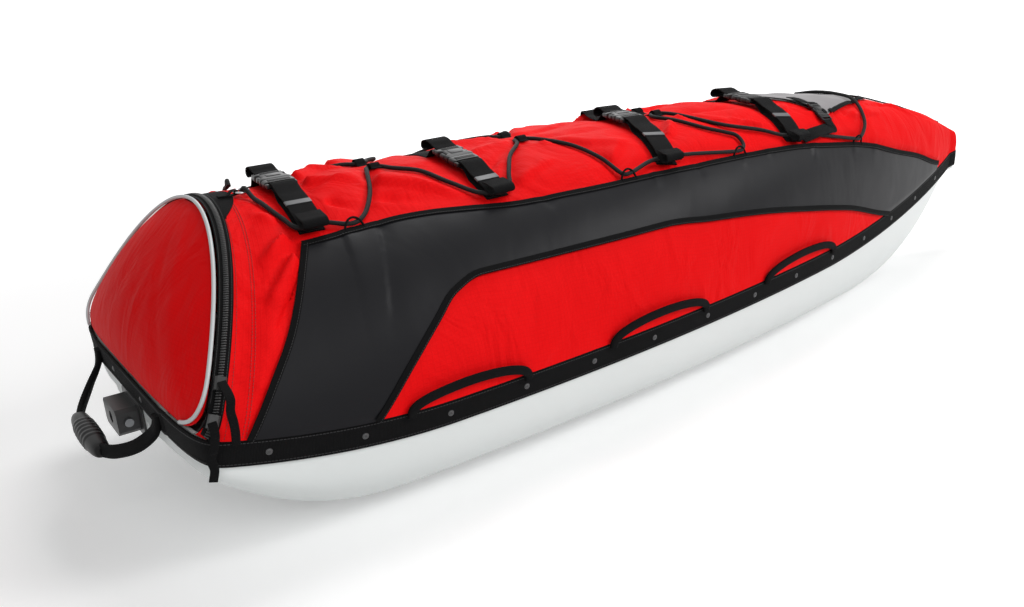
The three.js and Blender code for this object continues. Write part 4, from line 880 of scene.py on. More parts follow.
def swept_sides(path: np.ndarray) -> np.ndarray:
    """Side vectors that turn as little as they can along a path.

    Args:
        path: Points of the path.

    Returns:
        One unit vector a point.
    """
    tangents = unit(np.gradient(path, axis=0))
    side = unit(np.cross(tangents[0], [0.13, 0.21, 0.97]))
    sides = []
    for tangent in tangents:
        side = unit(side - tangent * (side @ tangent))
        sides.append(side)
    return np.array(sides)


def width_ways(path: np.ndarray, normals: np.ndarray) -> np.ndarray:
    """Width ways of a band that lies flat along a path."""
    return unit(np.cross(normals, np.gradient(path, axis=0)))


def close_mesh(mesh: bmesh.types.BMesh, weld: float = 1e-6) -> bmesh.types.BMesh:
    """Welds the meeting edges of a rolled grid, fills its open ends and turns its faces outwards.

    Args:
        mesh: The mesh, changed in place.
        weld: Vertices closer than this join.

    Returns:
        The same mesh.
    """
    bmesh.ops.remove_doubles(mesh, verts=mesh.verts, dist=weld)
    rim = [edge for edge in mesh.edges if edge.is_boundary]
    if rim:
        bmesh.ops.holes_fill(mesh, edges=rim, sides=0)
    bmesh.ops.recalc_face_normals(mesh, faces=mesh.faces)
    return mesh


def sweep_mesh(path: np.ndarray, sides: np.ndarray, section: np.ndarray, scale: np.ndarray | None = None,
               closed: bool = False) -> bmesh.types.BMesh:
    """Sweeps an outline along a path.

    Args:
        path: Points of the path.
        sides: The outline's first way at each point.
        section: The outline, its last point the same as its first.
        scale: Size of the outline at each point.
        closed: Whether the path runs back to its start, which its last point repeats.

    Returns:
        The new, closed mesh.
    """
    tangents = unit(np.gradient(path, axis=0))
    if closed:
        tangents[0] = tangents[-1] = unit(tangents[0] + tangents[-1])
    ups = unit(np.cross(sides, tangents))
    flats = unit(np.cross(tangents, ups))
    sizes = np.ones(len(path)) if scale is None else scale

    def place(u: np.ndarray, v: np.ndarray) -> np.ndarray:
        """Puts the grid's columns round the outline and its rows along the path.

        Args:
            u: Shares along the columns' way.
            v: Shares along the rows' way.

        Returns:
            The points.
        """
        ring = np.rint(u * (len(section) - 1)).astype(int)
        step = np.rint(v * (len(path) - 1)).astype(int)
        return (path[step] + flats[step] * (section[ring, 0] * sizes[step])[:, None]
                + ups[step] * (section[ring, 1] * sizes[step])[:, None])

    return close_mesh(grid_mesh(len(section) - 1, len(path) - 1, place))


def merged(meshes: Iterable[bmesh.types.BMesh]) -> bmesh.types.BMesh:
    """Puts several meshes into one.

    Args:
        meshes: The meshes, freed here.

    Returns:
        The new mesh.
    """
    whole = bmesh.new()
    for mesh in meshes:
        part = bpy.data.meshes.new("part")
        mesh.to_mesh(part)
        mesh.free()
        whole.from_mesh(part)
        bpy.data.meshes.remove(part)
    return whole


def basis(x: np.ndarray, y: np.ndarray, z: np.ndarray, origin: np.ndarray) -> Matrix:
    """A matrix from three axes and an origin.

    Args:
        x: The first axis.
        y: The second axis.
        z: The third axis.
        origin: The origin.

    Returns:
        The matrix.
    """
    matrix = np.eye(4)
    matrix[:3, 0], matrix[:3, 1], matrix[:3, 2], matrix[:3, 3] = x, y, z, origin
    return Matrix(matrix.tolist())


def frame_at(station: float, angle: float, origin: np.ndarray) -> Matrix:
    """A frame at an origin: X along the sled, Y up the side towards port, Z off the plain cover.

    Args:
        station: Station in metres.
        angle: Angle round the cover.
        origin: The origin.

    Returns:
        The frame.
    """
    normal = LINES.normal(station, angle)
    low, high = (LINES.cover_point(station, angle + turn) for turn in (-PROBE_ANGLE, PROBE_ANGLE))
    up_side = high - low
    up_side = unit(up_side - normal * (up_side @ normal))
    return basis(np.cross(up_side, normal), up_side, normal, origin)


def cloth_frame(station: float, angle: float, lift: float) -> Matrix:
    """The same frame with its origin off the folded cloth."""
    return frame_at(station, angle, on_cloth(station, angle, lift))


def round_edges(mesh: bmesh.types.BMesh, radius: float, steps: int = 3) -> None:
    """Rounds every edge of a mesh."""
    bmesh.ops.bevel(mesh, geom=mesh.edges[:], offset=radius, segments=steps, profile=0.5, affect="EDGES",
                    material=-1)


def rounded_box(size: tuple, centre: tuple, radius: float) -> bmesh.types.BMesh:
    """A box with rounded edges.

    Args:
        size: Its lengths along X, Y and Z.
        centre: Its middle.
        radius: Radius of its edges.

    Returns:
        The new mesh.
    """
    mesh = bmesh.new()
    shape = Matrix.Translation(centre) @ Matrix.Diagonal((*size, 1.0))
    bmesh.ops.create_cube(mesh, size=1.0, matrix=shape)
    round_edges(mesh, radius)
    return mesh


def add_domes(mesh: bmesh.types.BMesh, matrix: Matrix, domes: Iterable[tuple], around: int = 16) -> None:
    """Adds flattened balls on one axis, such as a rivet's lip and head.

    Args:
        mesh: The mesh that they are added to.
        matrix: Their frame, with Z along their axis.
        domes: Radius, flatness and lift of each.
        around: Faces round each.
    """
    for radius, flat, lift in domes:
        shape = Matrix.Translation((0, 0, lift)) @ Matrix.Diagonal((1, 1, flat, 1))
        bmesh.ops.create_uvsphere(mesh, u_segments=around, v_segments=8, radius=radius, matrix=matrix @ shape)


def add_piece(mesh: bmesh.types.BMesh, name: str, body: str, finish: "Finish", replaces: Sequence[str] = (),
              sharp_degrees: float = 40.0, wall: float = 0.0, wall_side: float = -1.0) -> bpy.types.Object:
    """Makes an object of a mesh, dresses it, hangs it on its body's empty and hides the nodes that it
    replaces.

    Args:
        mesh: The mesh, freed here.
        name: The piece's name.
        body: The body that it rides on, or nothing to leave it on no body.
        finish: Its finish.
        replaces: Nodes that it stands for.
        sharp_degrees: Edges sharper than this stay crisp.
        wall: Wall given to an open sheet.
        wall_side: -1 puts the wall inside, 1 outside.

    Returns:
        The new object.
    """
    data = bpy.data.meshes.new(name)
    mesh.to_mesh(data)
    mesh.free()
    piece = bpy.data.objects.new(name, data)
    bpy.context.scene.collection.objects.link(piece)
    if wall:
        solid = piece.modifiers.new("wall", "SOLIDIFY")
        solid.thickness, solid.offset, solid.use_even_offset = wall, wall_side, False
        bpy.context.view_layer.update()
        settled = bpy.data.meshes.new_from_object(piece.evaluated_get(bpy.context.evaluated_depsgraph_get()))
        piece.modifiers.clear()
        piece.data = settled
        bpy.data.meshes.remove(data)
        settled.name = name
    piece.data.shade_smooth()
    piece.data.set_sharp_from_angle(angle=math.radians(sharp_degrees))
    piece.data.materials.clear()
    piece.data.materials.append(finish.material())
    if body:
        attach(piece, body)
    if replaces:
        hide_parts(*replaces)
    log.info("%s: %d faces on %s", name, len(piece.data.polygons), body or "two bodies")
    return piece


def stitches(path: np.ndarray, normals: np.ndarray, stitch: tuple[float, float, float]) -> bmesh.types.BMesh:
    """A row of stitches: small low thread humps, each a cube drawn out along the seam.

    Args:
        path: Points of the seam.
        normals: The way off the cloth at each point.
        stitch: Pitch, length and width of a stitch.

    Returns:
        The new mesh.
    """
    pitch, length, width = stitch
    run = run_along(path)
    at = np.arange(pitch / 2, run[-1], pitch)
    spots = np.stack([np.interp(at, run, path[:, k]) for k in range(3)], axis=1)
    ups = unit(np.stack([np.interp(at, run, normals[:, k]) for k in range(3)], axis=1))
    heads = unit(np.gradient(spots, axis=0))
    mesh = bmesh.new()
    for spot, up, head in zip(spots, ups, heads):
        side = unit(np.cross(up, head))
        shape = Matrix.Diagonal((length, width, width * 0.8, 1.0))
        bmesh.ops.create_cube(mesh, size=1.0, matrix=basis(np.cross(side, up), side, up, spot) @ shape)
    return mesh


# Finishes


def linear(hex_code: str) -> tuple[float, float, float, float]:
    """Turns an sRGB hex code to a linear colour."""
    values = [int(hex_code[i:i + 2], 16) / 255 for i in (0, 2, 4)]
    return (*(v / 12.92 if v <= 0.04045 else ((v + 0.055) / 1.055) ** 2.4 for v in values), 1.0)


def add_node(tree: Tree, kind: str, settings: dict | None = None, values: dict | None = None,
             links: dict | None = None) -> bpy.types.Node:
    """Adds a node.

    Args:
        tree: The material's nodes.
        kind: The node's type.
        settings: Properties to set.
        values: Input sockets to set.
        links: Input sockets and the outputs that feed them.

    Returns:
        The new node.
    """
    node = tree.nodes.new(kind)
    for key, value in (settings or {}).items():
        setattr(node, key, value)
    for key, value in (values or {}).items():
        node.inputs[key].default_value = value
    for key, source in (links or {}).items():
        tree.links.new(source, node.inputs[key])
    return node


_materials: dict[str, bpy.types.Material] = {}


@dataclass(frozen=True)
class Finish:
    """A finish: a real material and how its surface was made.

    Its pattern repeats every pitch, as deep as depth, both in metres, and bump is its strength. Shade is how
    much darker its marks are, down to darkest, and mottle scale the size of its broad patches. Crease is the
    depth of handling creases, and the edge highlight setting is how much paler its sharp edges are painted, a
    painted highlight.
    """

    name: str
    slot: str
    colour: str
    roughness: float = 0.5
    metallic: float = 0.0
    specular: float = 0.5
    sheen: float = 0.0
    pitch: float = 0.001
    bump: float = 0.3
    depth: float = 0.0003
    shade: float = 0.12
    darkest: float = 0.45
    mottle_scale: float = 7.0
    crease: float = 0.0
    crease_scale: float = 12.0
    wear: float = 0.0
    follows_cloth: bool = False

    def material(self) -> bpy.types.Material:
        """The finish's material, made once.

        Returns:
            The material.
        """
        if self.name not in _materials:
            _materials[self.name] = self.build()
        return _materials[self.name]

    def build(self) -> bpy.types.Material:
        """Builds the material: pattern, creases, and colour and roughness that vary a little.

        Returns:
            The new material.
        """
        material = bpy.data.materials.new(self.name)
        material.use_nodes = True
        tree = material.node_tree
        tree.nodes.clear()
        where = add_node(tree, "ShaderNodeTexCoord")
        source = where.outputs["UV" if self.follows_cloth else "Object"]
        height, mark = self.pattern(tree, source)
        broad = add_node(tree, "ShaderNodeTexNoise",
                         values={"Scale": self.mottle_scale, "Detail": 4.0, "Roughness": 0.6},
                         links={"Vector": where.outputs["Object"]})
        mottled = add_node(tree, "ShaderNodeMapRange", values={"From Min": 0.3, "From Max": 0.7},
                           links={"Value": broad.outputs["Fac"]})
        soft = add_node(tree, "ShaderNodeMath", {"operation": "MULTIPLY"}, {1: self.shade},
                        {0: mottled.outputs[0]})
        amount = add_node(tree, "ShaderNodeMath", {"operation": "MULTIPLY_ADD", "use_clamp": True},
                          {1: self.shade * 2.2}, {0: mark, 2: soft.outputs[0]})
        bright = linear(self.colour)
        dark = tuple(c * self.darkest for c in bright[:3]) + (1.0,)
        colour = add_node(tree, "ShaderNodeMix", {"data_type": "RGBA"}, {6: bright, 7: dark},
                          {0: amount.outputs[0]})
        # Painted highlight: sharp convex edges are mixed towards pale grey, as if they caught the light
        if self.wear:
            shape = add_node(tree, "ShaderNodeNewGeometry")
            edge = add_node(tree, "ShaderNodeMapRange",
                            values={"From Min": 0.53, "From Max": 0.62, "To Max": self.wear},
                            links={"Value": shape.outputs["Pointiness"]})
            highlight_tint = tuple(c + (0.6 - c) * 0.35 for c in bright[:3]) + (1.0,)
            colour = add_node(tree, "ShaderNodeMix", {"data_type": "RGBA"}, {7: highlight_tint},
                              {0: edge.outputs[0], 6: colour.outputs[2]})
        rough = add_node(tree, "ShaderNodeMapRange", values={
            "To Min": max(self.roughness - 0.06, 0.02), "To Max": min(self.roughness + 0.08, 1.0)},
            links={"Value": broad.outputs["Fac"]})
        normal = add_node(tree, "ShaderNodeBump", values={"Strength": self.bump, "Distance": self.depth},
                          links={"Height": height})
        if self.crease:
            normal = self.creases(tree, where.outputs["Object"], normal)
        shader = add_node(tree, "ShaderNodeBsdfPrincipled", values={
            "Metallic": self.metallic, "Specular IOR Level": self.specular, "Sheen Weight": self.sheen,
            "Sheen Roughness": 0.45}, links={
                "Base Color": colour.outputs[2], "Roughness": rough.outputs[0], "Normal": normal.outputs[0]})
        add_node(tree, "ShaderNodeOutputMaterial", links={"Surface": shader.outputs[0]})
        material.diffuse_color = bright
        return material

    def creases(self, tree: Tree, source: Socket, under: bpy.types.Node) -> bpy.types.Node:
        """Adds soft handling creases over a normal.

        Args:
            tree: The material's nodes.
            source: Coordinates in metres.
            under: The bump node below.

        Returns:
            The bump node on top.
        """
        stretched = add_node(tree, "ShaderNodeMapping", values={"Scale": (1.0, 1.0, 0.6)},
                             links={"Vector": source})
        lines = add_node(tree, "ShaderNodeTexNoise", values={
            "Scale": self.crease_scale, "Detail": 3.0, "Roughness": 0.55, "Distortion": 1.1},
            links={"Vector": stretched.outputs[0]})
        return add_node(tree, "ShaderNodeBump", values={"Strength": 0.9, "Distance": self.crease},
                        links={"Height": lines.outputs["Fac"], "Normal": under.outputs[0]})

    def pattern(self, tree: Tree, source: Socket) -> tuple[Socket, Socket]:
        """The fine pattern of a moulded or drawn surface: an even grain.

        Args:
            tree: The material's nodes.
            source: Coordinates in metres.

        Returns:
            Sockets for the height and for the darker marks.
        """
        grain = add_node(tree, "ShaderNodeTexNoise", values={"Scale": 1 / self.pitch, "Detail": 2.0},
                         links={"Vector": source})
        faint = add_node(tree, "ShaderNodeMath", {"operation": "MULTIPLY"}, {1: 0.15},
                         {0: grain.outputs["Fac"]})
        return grain.outputs["Fac"], faint.outputs[0]


def wave_scale(pitch: float) -> float:
    """Scale at which a wave texture repeats every pitch."""
    return math.pi / 10 / pitch


@dataclass(frozen=True)
class RipstopNylon(Finish):
    """Coated nylon woven with a thicker thread every few millimetres, which shows as a grid of squares."""

    square: float = 0.0052

    def pattern(self, tree: Tree, source: Socket) -> tuple[Socket, Socket]:
        """Grid of thick threads over a plain weave, drawn a little coarser than real so that they show.

        Args:
            tree: The material's nodes.
            source: Coordinates in metres.

        Returns:
            Sockets for the height and for the darker marks.
        """
        lines, threads = [], []
        for way in ("X", "Y"):
            thick, thin = (
                add_node(tree, "ShaderNodeTexWave", {"bands_direction": way}, {"Scale": wave_scale(pitch)},
                         {"Vector": source}).outputs["Fac"]
                for pitch in (self.square, self.pitch))
            sharp = add_node(tree, "ShaderNodeMapRange", values={"From Min": 0.86, "From Max": 0.99},
                             links={"Value": thick})
            lines.append(sharp.outputs[0])
            threads.append(thin)
        grid = add_node(tree, "ShaderNodeMath", {"operation": "MAXIMUM"}, links=dict(enumerate(lines)))
        fine = add_node(tree, "ShaderNodeMath", {"operation": "MULTIPLY"}, links=dict(enumerate(threads)))
        height = add_node(tree, "ShaderNodeMath", {"operation": "MULTIPLY_ADD"}, {1: 0.35},
                          {0: fine.outputs[0], 2: grid.outputs[0]})
        mark = add_node(tree, "ShaderNodeMath", {"operation": "MULTIPLY"}, {1: 0.4}, {0: grid.outputs[0]})
        return height.outputs[0], mark.outputs[0]


@dataclass(frozen=True)
class Webbing(Finish):
    """Woven polyester webbing or tape: ribs across its length, made by a thick weft."""

    def pattern(self, tree: Tree, source: Socket) -> tuple[Socket, Socket]:
        """Ribs across the band with finer warp threads along it, a little coarser than real.

        Args:
            tree: The material's nodes.
            source: Coordinates in metres.

        Returns:
            Sockets for the height and for the darker marks.
        """
        ribs, warp = (
            add_node(tree, "ShaderNodeTexWave", {"bands_direction": way}, {"Scale": wave_scale(pitch)},
                     {"Vector": source}).outputs["Fac"]
            for way, pitch in (("Y", self.pitch), ("X", self.pitch * 0.6)))
        height = add_node(tree, "ShaderNodeMath", {"operation": "MULTIPLY_ADD"}, {1: 0.45},
                          {0: warp, 2: ribs})
        between = add_node(tree, "ShaderNodeMath", {"operation": "SUBTRACT", "use_clamp": True}, {0: 1.0},
                           {1: ribs})
        return height.outputs[0], between.outputs[0]


@dataclass(frozen=True)
class BraidedCord(Finish):
    """Braided sheath of an elastic cord: two sets of threads crossing on the slant."""

    def pattern(self, tree: Tree, source: Socket) -> tuple[Socket, Socket]:
        """Diamonds of crossing threads, a little coarser than real.

        Args:
            tree: The material's nodes.
            source: Coordinates in metres.

        Returns:
            Sockets for the height and for the darker marks.
        """
        turned = add_node(tree, "ShaderNodeMapping", values={"Rotation": (0, 0, math.radians(38))},
                          links={"Vector": source}).outputs[0]
        threads = [
            add_node(tree, "ShaderNodeTexWave", {"bands_direction": way}, {"Scale": wave_scale(self.pitch)},
                     {"Vector": turned}).outputs["Fac"]
            for way in ("X", "Y")]
        both = add_node(tree, "ShaderNodeMath", {"operation": "MULTIPLY"}, links=dict(enumerate(threads)))
        between = add_node(tree, "ShaderNodeMath", {"operation": "SUBTRACT", "use_clamp": True}, {0: 0.8},
                           {1: both.outputs[0]})
        return both.outputs[0], between.outputs[0]


# Matt cloth that catches light only on its creases, with a faint grid of squares; the squares are 5 mm apart
RED_NYLON = RipstopNylon("red ripstop nylon, woven and coated", "red_nylon", "f00c10", roughness=0.62,
                         specular=0.06, pitch=0.0013, bump=0.5, depth=0.00022, shade=0.09, crease=0.009,
                         crease_scale=13.0, follows_cloth=True)
# Near-black sheet with a soft, broad sheen that shows its long, shallow waves
BLACK_COATED = Finish("black coated tarpaulin, calendered", "coated_black", "151518", roughness=0.40,
                      specular=0.12, pitch=0.0016, bump=0.22, depth=0.0002, shade=0.18, crease=0.0022,
                      crease_scale=6.0)
# The same sheet in grey, shinier, so that the bow reads as a paler, streaked patch
GREY_COATED = Finish("grey coated tarpaulin, calendered", "grey_coated", "858183", roughness=0.40,
                     specular=0.40, pitch=0.0016, bump=0.2, depth=0.0002, shade=0.2, crease=0.004,
                     crease_scale=10.0)
# Deep black bands whose ribs break up any shine
BLACK_WEBBING = Webbing("black polyester webbing, woven", "black_webbing", "0d0d0e", roughness=0.8,
                        specular=0.09, pitch=0.0017, bump=0.8, depth=0.0004, shade=0.25, follows_cloth=True)
# Thinner and finer than webbing, so it reads as a plain black edge
BLACK_TAPE = Webbing("black binding tape, woven", "black_webbing", "0b0b0c", roughness=0.82, specular=0.09,
                     pitch=0.0012, bump=0.6, depth=0.0003, shade=0.2, follows_cloth=True)
# A shade paler than the tape, so that the rows of stitches show on it
BLACK_THREAD = Finish("black polyester thread, spun", "black_webbing", "1c1c1d", roughness=0.7, pitch=0.0006)
# A shade darker than the cloth, so that the seams read as dotted lines
RED_THREAD = Finish("red polyester thread, spun", "red_nylon", "a50b0e", roughness=0.7, pitch=0.0006)
# Smooth black with clear highlights and a painted highlight on its sharp edges, which sets the buckles off
# from the webbing
BLACK_MOULDING = Finish("black acetal, injection moulded", "black_moulding", "101011", roughness=0.34,
                        specular=0.3, pitch=0.0008, bump=0.12, depth=0.0001, shade=0.1, wear=0.12)
# Softer than the buckles, with dull highlights along its ribs and a faint painted highlight on its sharp
# edges
BLACK_RUBBER = Finish("black soft PVC grip, moulded", "black_moulding", "111112", roughness=0.38,
                      specular=0.16, pitch=0.0011, bump=0.15, depth=0.0001, shade=0.12, wear=0.06)
# Cool white with a satin gloss, smooth enough to carry long, soft reflections
WHITE_SHELL = Finish("white polyethylene, vacuum formed", "hull_shell", "e6eae9", roughness=0.34,
                     specular=0.4, pitch=0.012, bump=0.08, depth=0.0004, shade=0.035)
# Pale grey line that stands out against the red
REFLECTIVE = Finish("silver reflective cloth, glass beaded", "reflective", "c4c8c9", roughness=0.4,
                    specular=0.6, pitch=0.0005, bump=0.3, depth=0.0001, shade=0.12)
# Dull grey bars on the black straps
REFLECTIVE_DARK = Finish("grey reflective cloth, worn", "reflective", "5c5d5f", roughness=0.45, specular=0.5,
                         pitch=0.0006, bump=0.3, depth=0.0001, shade=0.25)
# Small bright glints
BRIGHT_STEEL = Finish("steel wire, drawn and plated", "steel", "b4b6b8", roughness=0.28, metallic=1.0,
                      pitch=0.0012, bump=0.1, depth=0.0001, shade=0.1)
# Duller, darker metal than the ring
PIN_STEEL = Finish("pin, zinc plated steel", "steel", "77797b", roughness=0.4, metallic=1.0, pitch=0.0012,
                   bump=0.1, depth=0.0001, shade=0.1)
# Dark dots on the band, each with a rim painted pale as a highlight, and a highlight
BLACK_STEEL = Finish("rivet head, painted black", "black_webbing", "2a2a2c", roughness=0.35, specular=0.55,
                     pitch=0.001, bump=0.1, depth=0.0001, shade=0.1, wear=0.5)
# Black cord with a fine slanting pattern, rounder in its shading than the flat webbing
BRAID = BraidedCord("elastic cord, braided sheath", "black_webbing", "161617", roughness=0.6, specular=0.16,
                    sheen=0.02, pitch=0.0014, bump=0.7, depth=0.0003, shade=0.2, follows_cloth=True)
# Dull grey cloth, seen only when the stern is open
SACK_CLOTH = RipstopNylon("grey sack nylon, woven", "load", "6c7074", roughness=0.65, specular=0.25,
                          pitch=0.0013, bump=0.5, depth=0.0002, shade=0.12, crease=0.003, crease_scale=18.0,
                          follows_cloth=True)


# Sub-assemblies


@dataclass
class Hull:
    """Vacuum formed hull with two low runners."""

    wall: float = 0.004
    runner_depth: float = 0.006
    runner_share: float = 0.5
    runner_width: float = 0.16
    pad_width: float = 0.112
    pad_depth: float = 0.026
    pad_height: float = 0.044
    pad_radius: float = 0.005
    corner_radius: float = 0.009
    wall_turn: float = 0.86
    face_share: float = 0.045
    seat: float = 0.0005

    def section(self, station: np.ndarray, turn: np.ndarray) -> np.ndarray:
        """Outer face of the hull; turn runs from -1 at the starboard rim to 1 at the port rim.

        Args:
            station: Stations in metres.
            turn: Shares of the way from the middle.

        Returns:
            The points.
        """
        half = LINES.half_width(station)
        low, high, top = LINES.keel(station), LINES.sheer(station), LINES.rim_top(station)
        reach = np.abs(turn)
        share = np.clip(reach / self.wall_turn, 0, 1)
        share = 1 - (1 - share) ** 1.35
        rise = 1 - (1 - share ** 3) ** (1 / 3)
        sloped = low + (high - low) * rise
        depth = np.minimum(self.runner_depth, (top - low) / 4)
        edge = self.runner_width / 2
        off_runner = smooth_step(edge - 0.02, edge + 0.02, np.abs(share - self.runner_share))
        up = low + (np.maximum(sloped, low + depth) - low) * off_runner
        wall = np.clip((reach - self.wall_turn) / (1 - self.wall_turn), 0, 1)
        up = np.where(reach > self.wall_turn, high + (top - self.seat - high) * wall, up)
        return np.stack([LINES.start_x + station, np.sign(turn) * share * half, up], axis=-1)

    def build(self) -> None:
        """Builds the shell with its stern face, and the pad that carries the bracket."""
        def place(u: np.ndarray, v: np.ndarray) -> np.ndarray:
            """Rows run from the stern face's top, down it, round its lower edge and on to the bow.

            Args:
                u: Shares along the columns' way.
                v: Shares along the rows' way.

            Returns:
                The points.
            """
            face = self.face_share
            along = np.clip((v - face) / (1 - face), 0, 1)
            station = LINES.length * (0.35 * along ** 2.2 + 0.65 * along)
            point = self.section(station, u * 2 - 1)
            top = LINES.rim_top(np.zeros_like(u)) - self.seat
            down = np.clip(v / face, 0, 1)
            drop = np.sin(down * QUARTER_TURN) ** 0.5
            point[..., 2] = np.where(v < face, top + (point[..., 2] - top) * drop, point[..., 2])
            tuck = np.where(v < face, 0.0, self.corner_radius * np.exp(-station / (self.corner_radius * 0.7)))
            low = smooth_step(0.0, 0.4, (top - point[..., 2]) / 0.06)
            point[..., 2] += tuck * low * 0.35
            return point

        shell = sheet_mesh(150, 230, place)
        add_piece(shell, "hull_shell", "sled", WHITE_SHELL, ["hull"], WOVEN_EDGE, self.wall)
        size = (self.pad_depth, self.pad_width, self.pad_height)
        middle = (LINES.start_x + size[0] / 2 - 0.0001, 0, LINES.sheer(0.0) - size[2] / 2 - 0.0004)
        pad = rounded_box(size, middle, self.pad_radius)
        add_piece(pad, "hull_transom_pad", "sled", WHITE_SHELL, [], WOVEN_EDGE)


@dataclass
class RimBand:
    """Webbing band riveted round the rim."""

    thickness: float = 0.003
    seat: float = 0.0003
    pitch: float = 0.114
    first: float = 0.077
    last_share: float = 0.95
    stern_share: float = 0.25
    rivet_radius: float = 0.0042

    def edge(self, stations: np.ndarray, side: float, offset: float) -> np.ndarray:
        """Plan of the rim, moved outwards.

        Args:
            stations: Stations in metres.
            side: -1 for starboard, 1 for port.
            offset: Distance outwards in metres.

        Returns:
            Points in plan.
        """
        fore = np.minimum(stations + PROBE, LINES.length)
        aft = np.maximum(stations - PROBE, 0)
        head = unit(np.stack([fore - aft, side * (LINES.half_width(fore) - LINES.half_width(aft))], axis=-1))
        out = np.stack([-side * head[:, 1], side * head[:, 0]], axis=-1)
        plan = np.stack([LINES.start_x + stations, side * LINES.half_width(stations)], axis=-1)
        return plan + out * offset

    def loop(self, offset: float) -> tuple[np.ndarray, np.ndarray]:
        """The whole way round the rim: plan points and their stations.

        Args:
            offset: Distance outwards in metres.

        Returns:
            The points and their stations.
        """
        dense = np.unique(np.concatenate([
            np.linspace(0.0, 0.006, 5), np.linspace(0.006, LINES.stern_corner, 14),
            np.linspace(LINES.stern_corner, 1.3, 150), np.linspace(1.3, LINES.length, 70)]))
        star = self.edge(dense, -1, offset)
        port = self.edge(dense[::-1], 1, offset)
        stern_y = star[0, 1]
        across = np.linspace(-stern_y, stern_y, 26)[1:-1]
        back = np.stack([np.full_like(across, LINES.start_x - offset), across], axis=-1)
        stations = np.concatenate([dense, dense[::-1], np.zeros(len(across)), [0.0]])
        return np.vstack([star, port, back, star[:1]]), stations

    def build(self) -> None:
        """Builds the band, two rows of stitches and the rivets."""
        outer, stations = self.loop(self.seat + self.thickness)
        flared, _ = self.loop(LINES.band_flare)
        inner, _ = self.loop(self.seat)
        top_in, _ = self.loop(LINES.band_flare - self.thickness)
        low, high = LINES.sheer(stations), LINES.rim_top(stations)
        count = len(stations)
        flank = [(None, share) for share in (0.04, 0.3, 0.65, 0.96)]
        ring = [(inner, 0.0), (outer, 0.0), *flank, (flared, 1.0), (top_in, 1.0), (inner, 0.0)]

        def place(u: np.ndarray, v: np.ndarray) -> np.ndarray:
            """Columns go round the band's section, rows round the rim.

            Args:
                u: Shares along the columns' way.
                v: Shares along the rows' way.

            Returns:
                The points.
            """
            step = np.rint(v * (count - 1)).astype(int)
            column = np.rint(u * (len(ring) - 1)).astype(int)
            points = np.zeros((len(u), 3))
            for k, (plan, share) in enumerate(ring):
                pick = column == k
                at = step[pick]
                flat = outer[at] + (flared[at] - outer[at]) * share if plan is None else plan[at]
                bulge = 0.0007 * math.sin(math.pi * share) if plan is None else 0.0
                grow = unit(outer[at] - inner[at]) * bulge
                points[pick, :2] = flat + grow
                points[pick, 2] = low[at] + (high[at] - low[at]) * share
            return points

        band = close_mesh(grid_mesh(len(ring) - 1, count - 1, place), 2e-6)
        add_piece(band, "rim_band_webbing", "sled", BLACK_WEBBING, ["rim_band"], WOVEN_EDGE)
        rows = []
        for share in (0.1, 0.9):
            plan = outer + (flared - outer) * share
            out = np.column_stack([unit(outer - inner), np.zeros(count)])
            path = np.column_stack([plan, low + (high - low) * share]) + out * 0.0006
            rows.append(stitches(path, out, BAND_STITCH))
        add_piece(merged(rows), "rim_band_stitching", "sled", BLACK_THREAD)
        self.rivets()

    def rivets(self) -> None:
        """Domed rivet heads with a small washer lip along the band."""
        heads = bmesh.new()
        spots = []
        proud = (LINES.band_flare + self.thickness) / 2
        station = self.first
        while station < LINES.length * self.last_share:
            for side in (-1, 1):
                here = np.array([station])
                plan = self.edge(here, side, self.seat + proud + 0.0003)[0]
                out = unit(self.edge(here, side, 0.01)[0] - self.edge(here, side, 0.0)[0])
                spots.append(([*plan, LINES.sheer(station) + LINES.band_width / 2], [*out, 0.0]))
            station += self.pitch
        for across in (-self.stern_share, self.stern_share):
            spots.append(([LINES.start_x - proud - 0.0005, across * LINES.half_beam,
                           LINES.rim_top(0.0) - LINES.band_width / 2], [-1.0, 0.0, 0.0]))
        domes = ((self.rivet_radius, 0.16, 0.0), (self.rivet_radius * 0.62, 0.42, 0.0004))
        for spot, out in spots:
            side = unit(np.cross(out, [0, 0, 1]))
            add_domes(heads, basis(side, np.cross(out, side), out, spot), domes, 14)
        add_piece(heads, "rim_band_rivets", "sled", BLACK_STEEL)


@dataclass
class Cover:
    """Folded red cover and its seams."""

    start: float = 0.009
    wall: float = 0.0012
    seams: Table = ((0.030, 0.0003), (0.049, 0.0004), (0.053, 0.0004))

    def build(self) -> None:
        """Builds the cloth, a sheet stretched over the load, and the seams behind the arch."""
        def place(u: np.ndarray, v: np.ndarray) -> np.ndarray:
            """Columns run from the arch to the bow, rows from rim to rim.

            Args:
                u: Shares along the columns' way.
                v: Shares along the rows' way.

            Returns:
                The points.
            """
            begin = self.start + (LINES.length - 0.001 - self.start) * (0.25 * u ** 2 + 0.75 * u)
            angle = math.pi * v
            station = np.minimum(LINES.arch_station(begin, angle), LINES.length - 0.0005)
            point = on_cloth(station, angle, 0.0)
            point[..., 2] += 0.0004 * (1 - np.sin(angle))
            return point

        cloth = sheet_mesh(400, 170, place)
        piece = add_piece(cloth, "cover_cloth", "sled", RED_NYLON, ["cover_body"], CLOTH_EDGE, self.wall)
        rows = []
        for start, lift in self.seams:
            angles = np.linspace(0.03, 1.97, 260) * QUARTER_TURN
            stations = LINES.arch_station(np.full_like(angles, start), angles)
            seam = on_cloth(stations, angles, lift)
            rows.append(stitches(seam, LINES.normal(stations, angles), SEAM_STITCH))
        add_piece(merged(rows), "cover_seam_stitching", "sled", RED_THREAD)


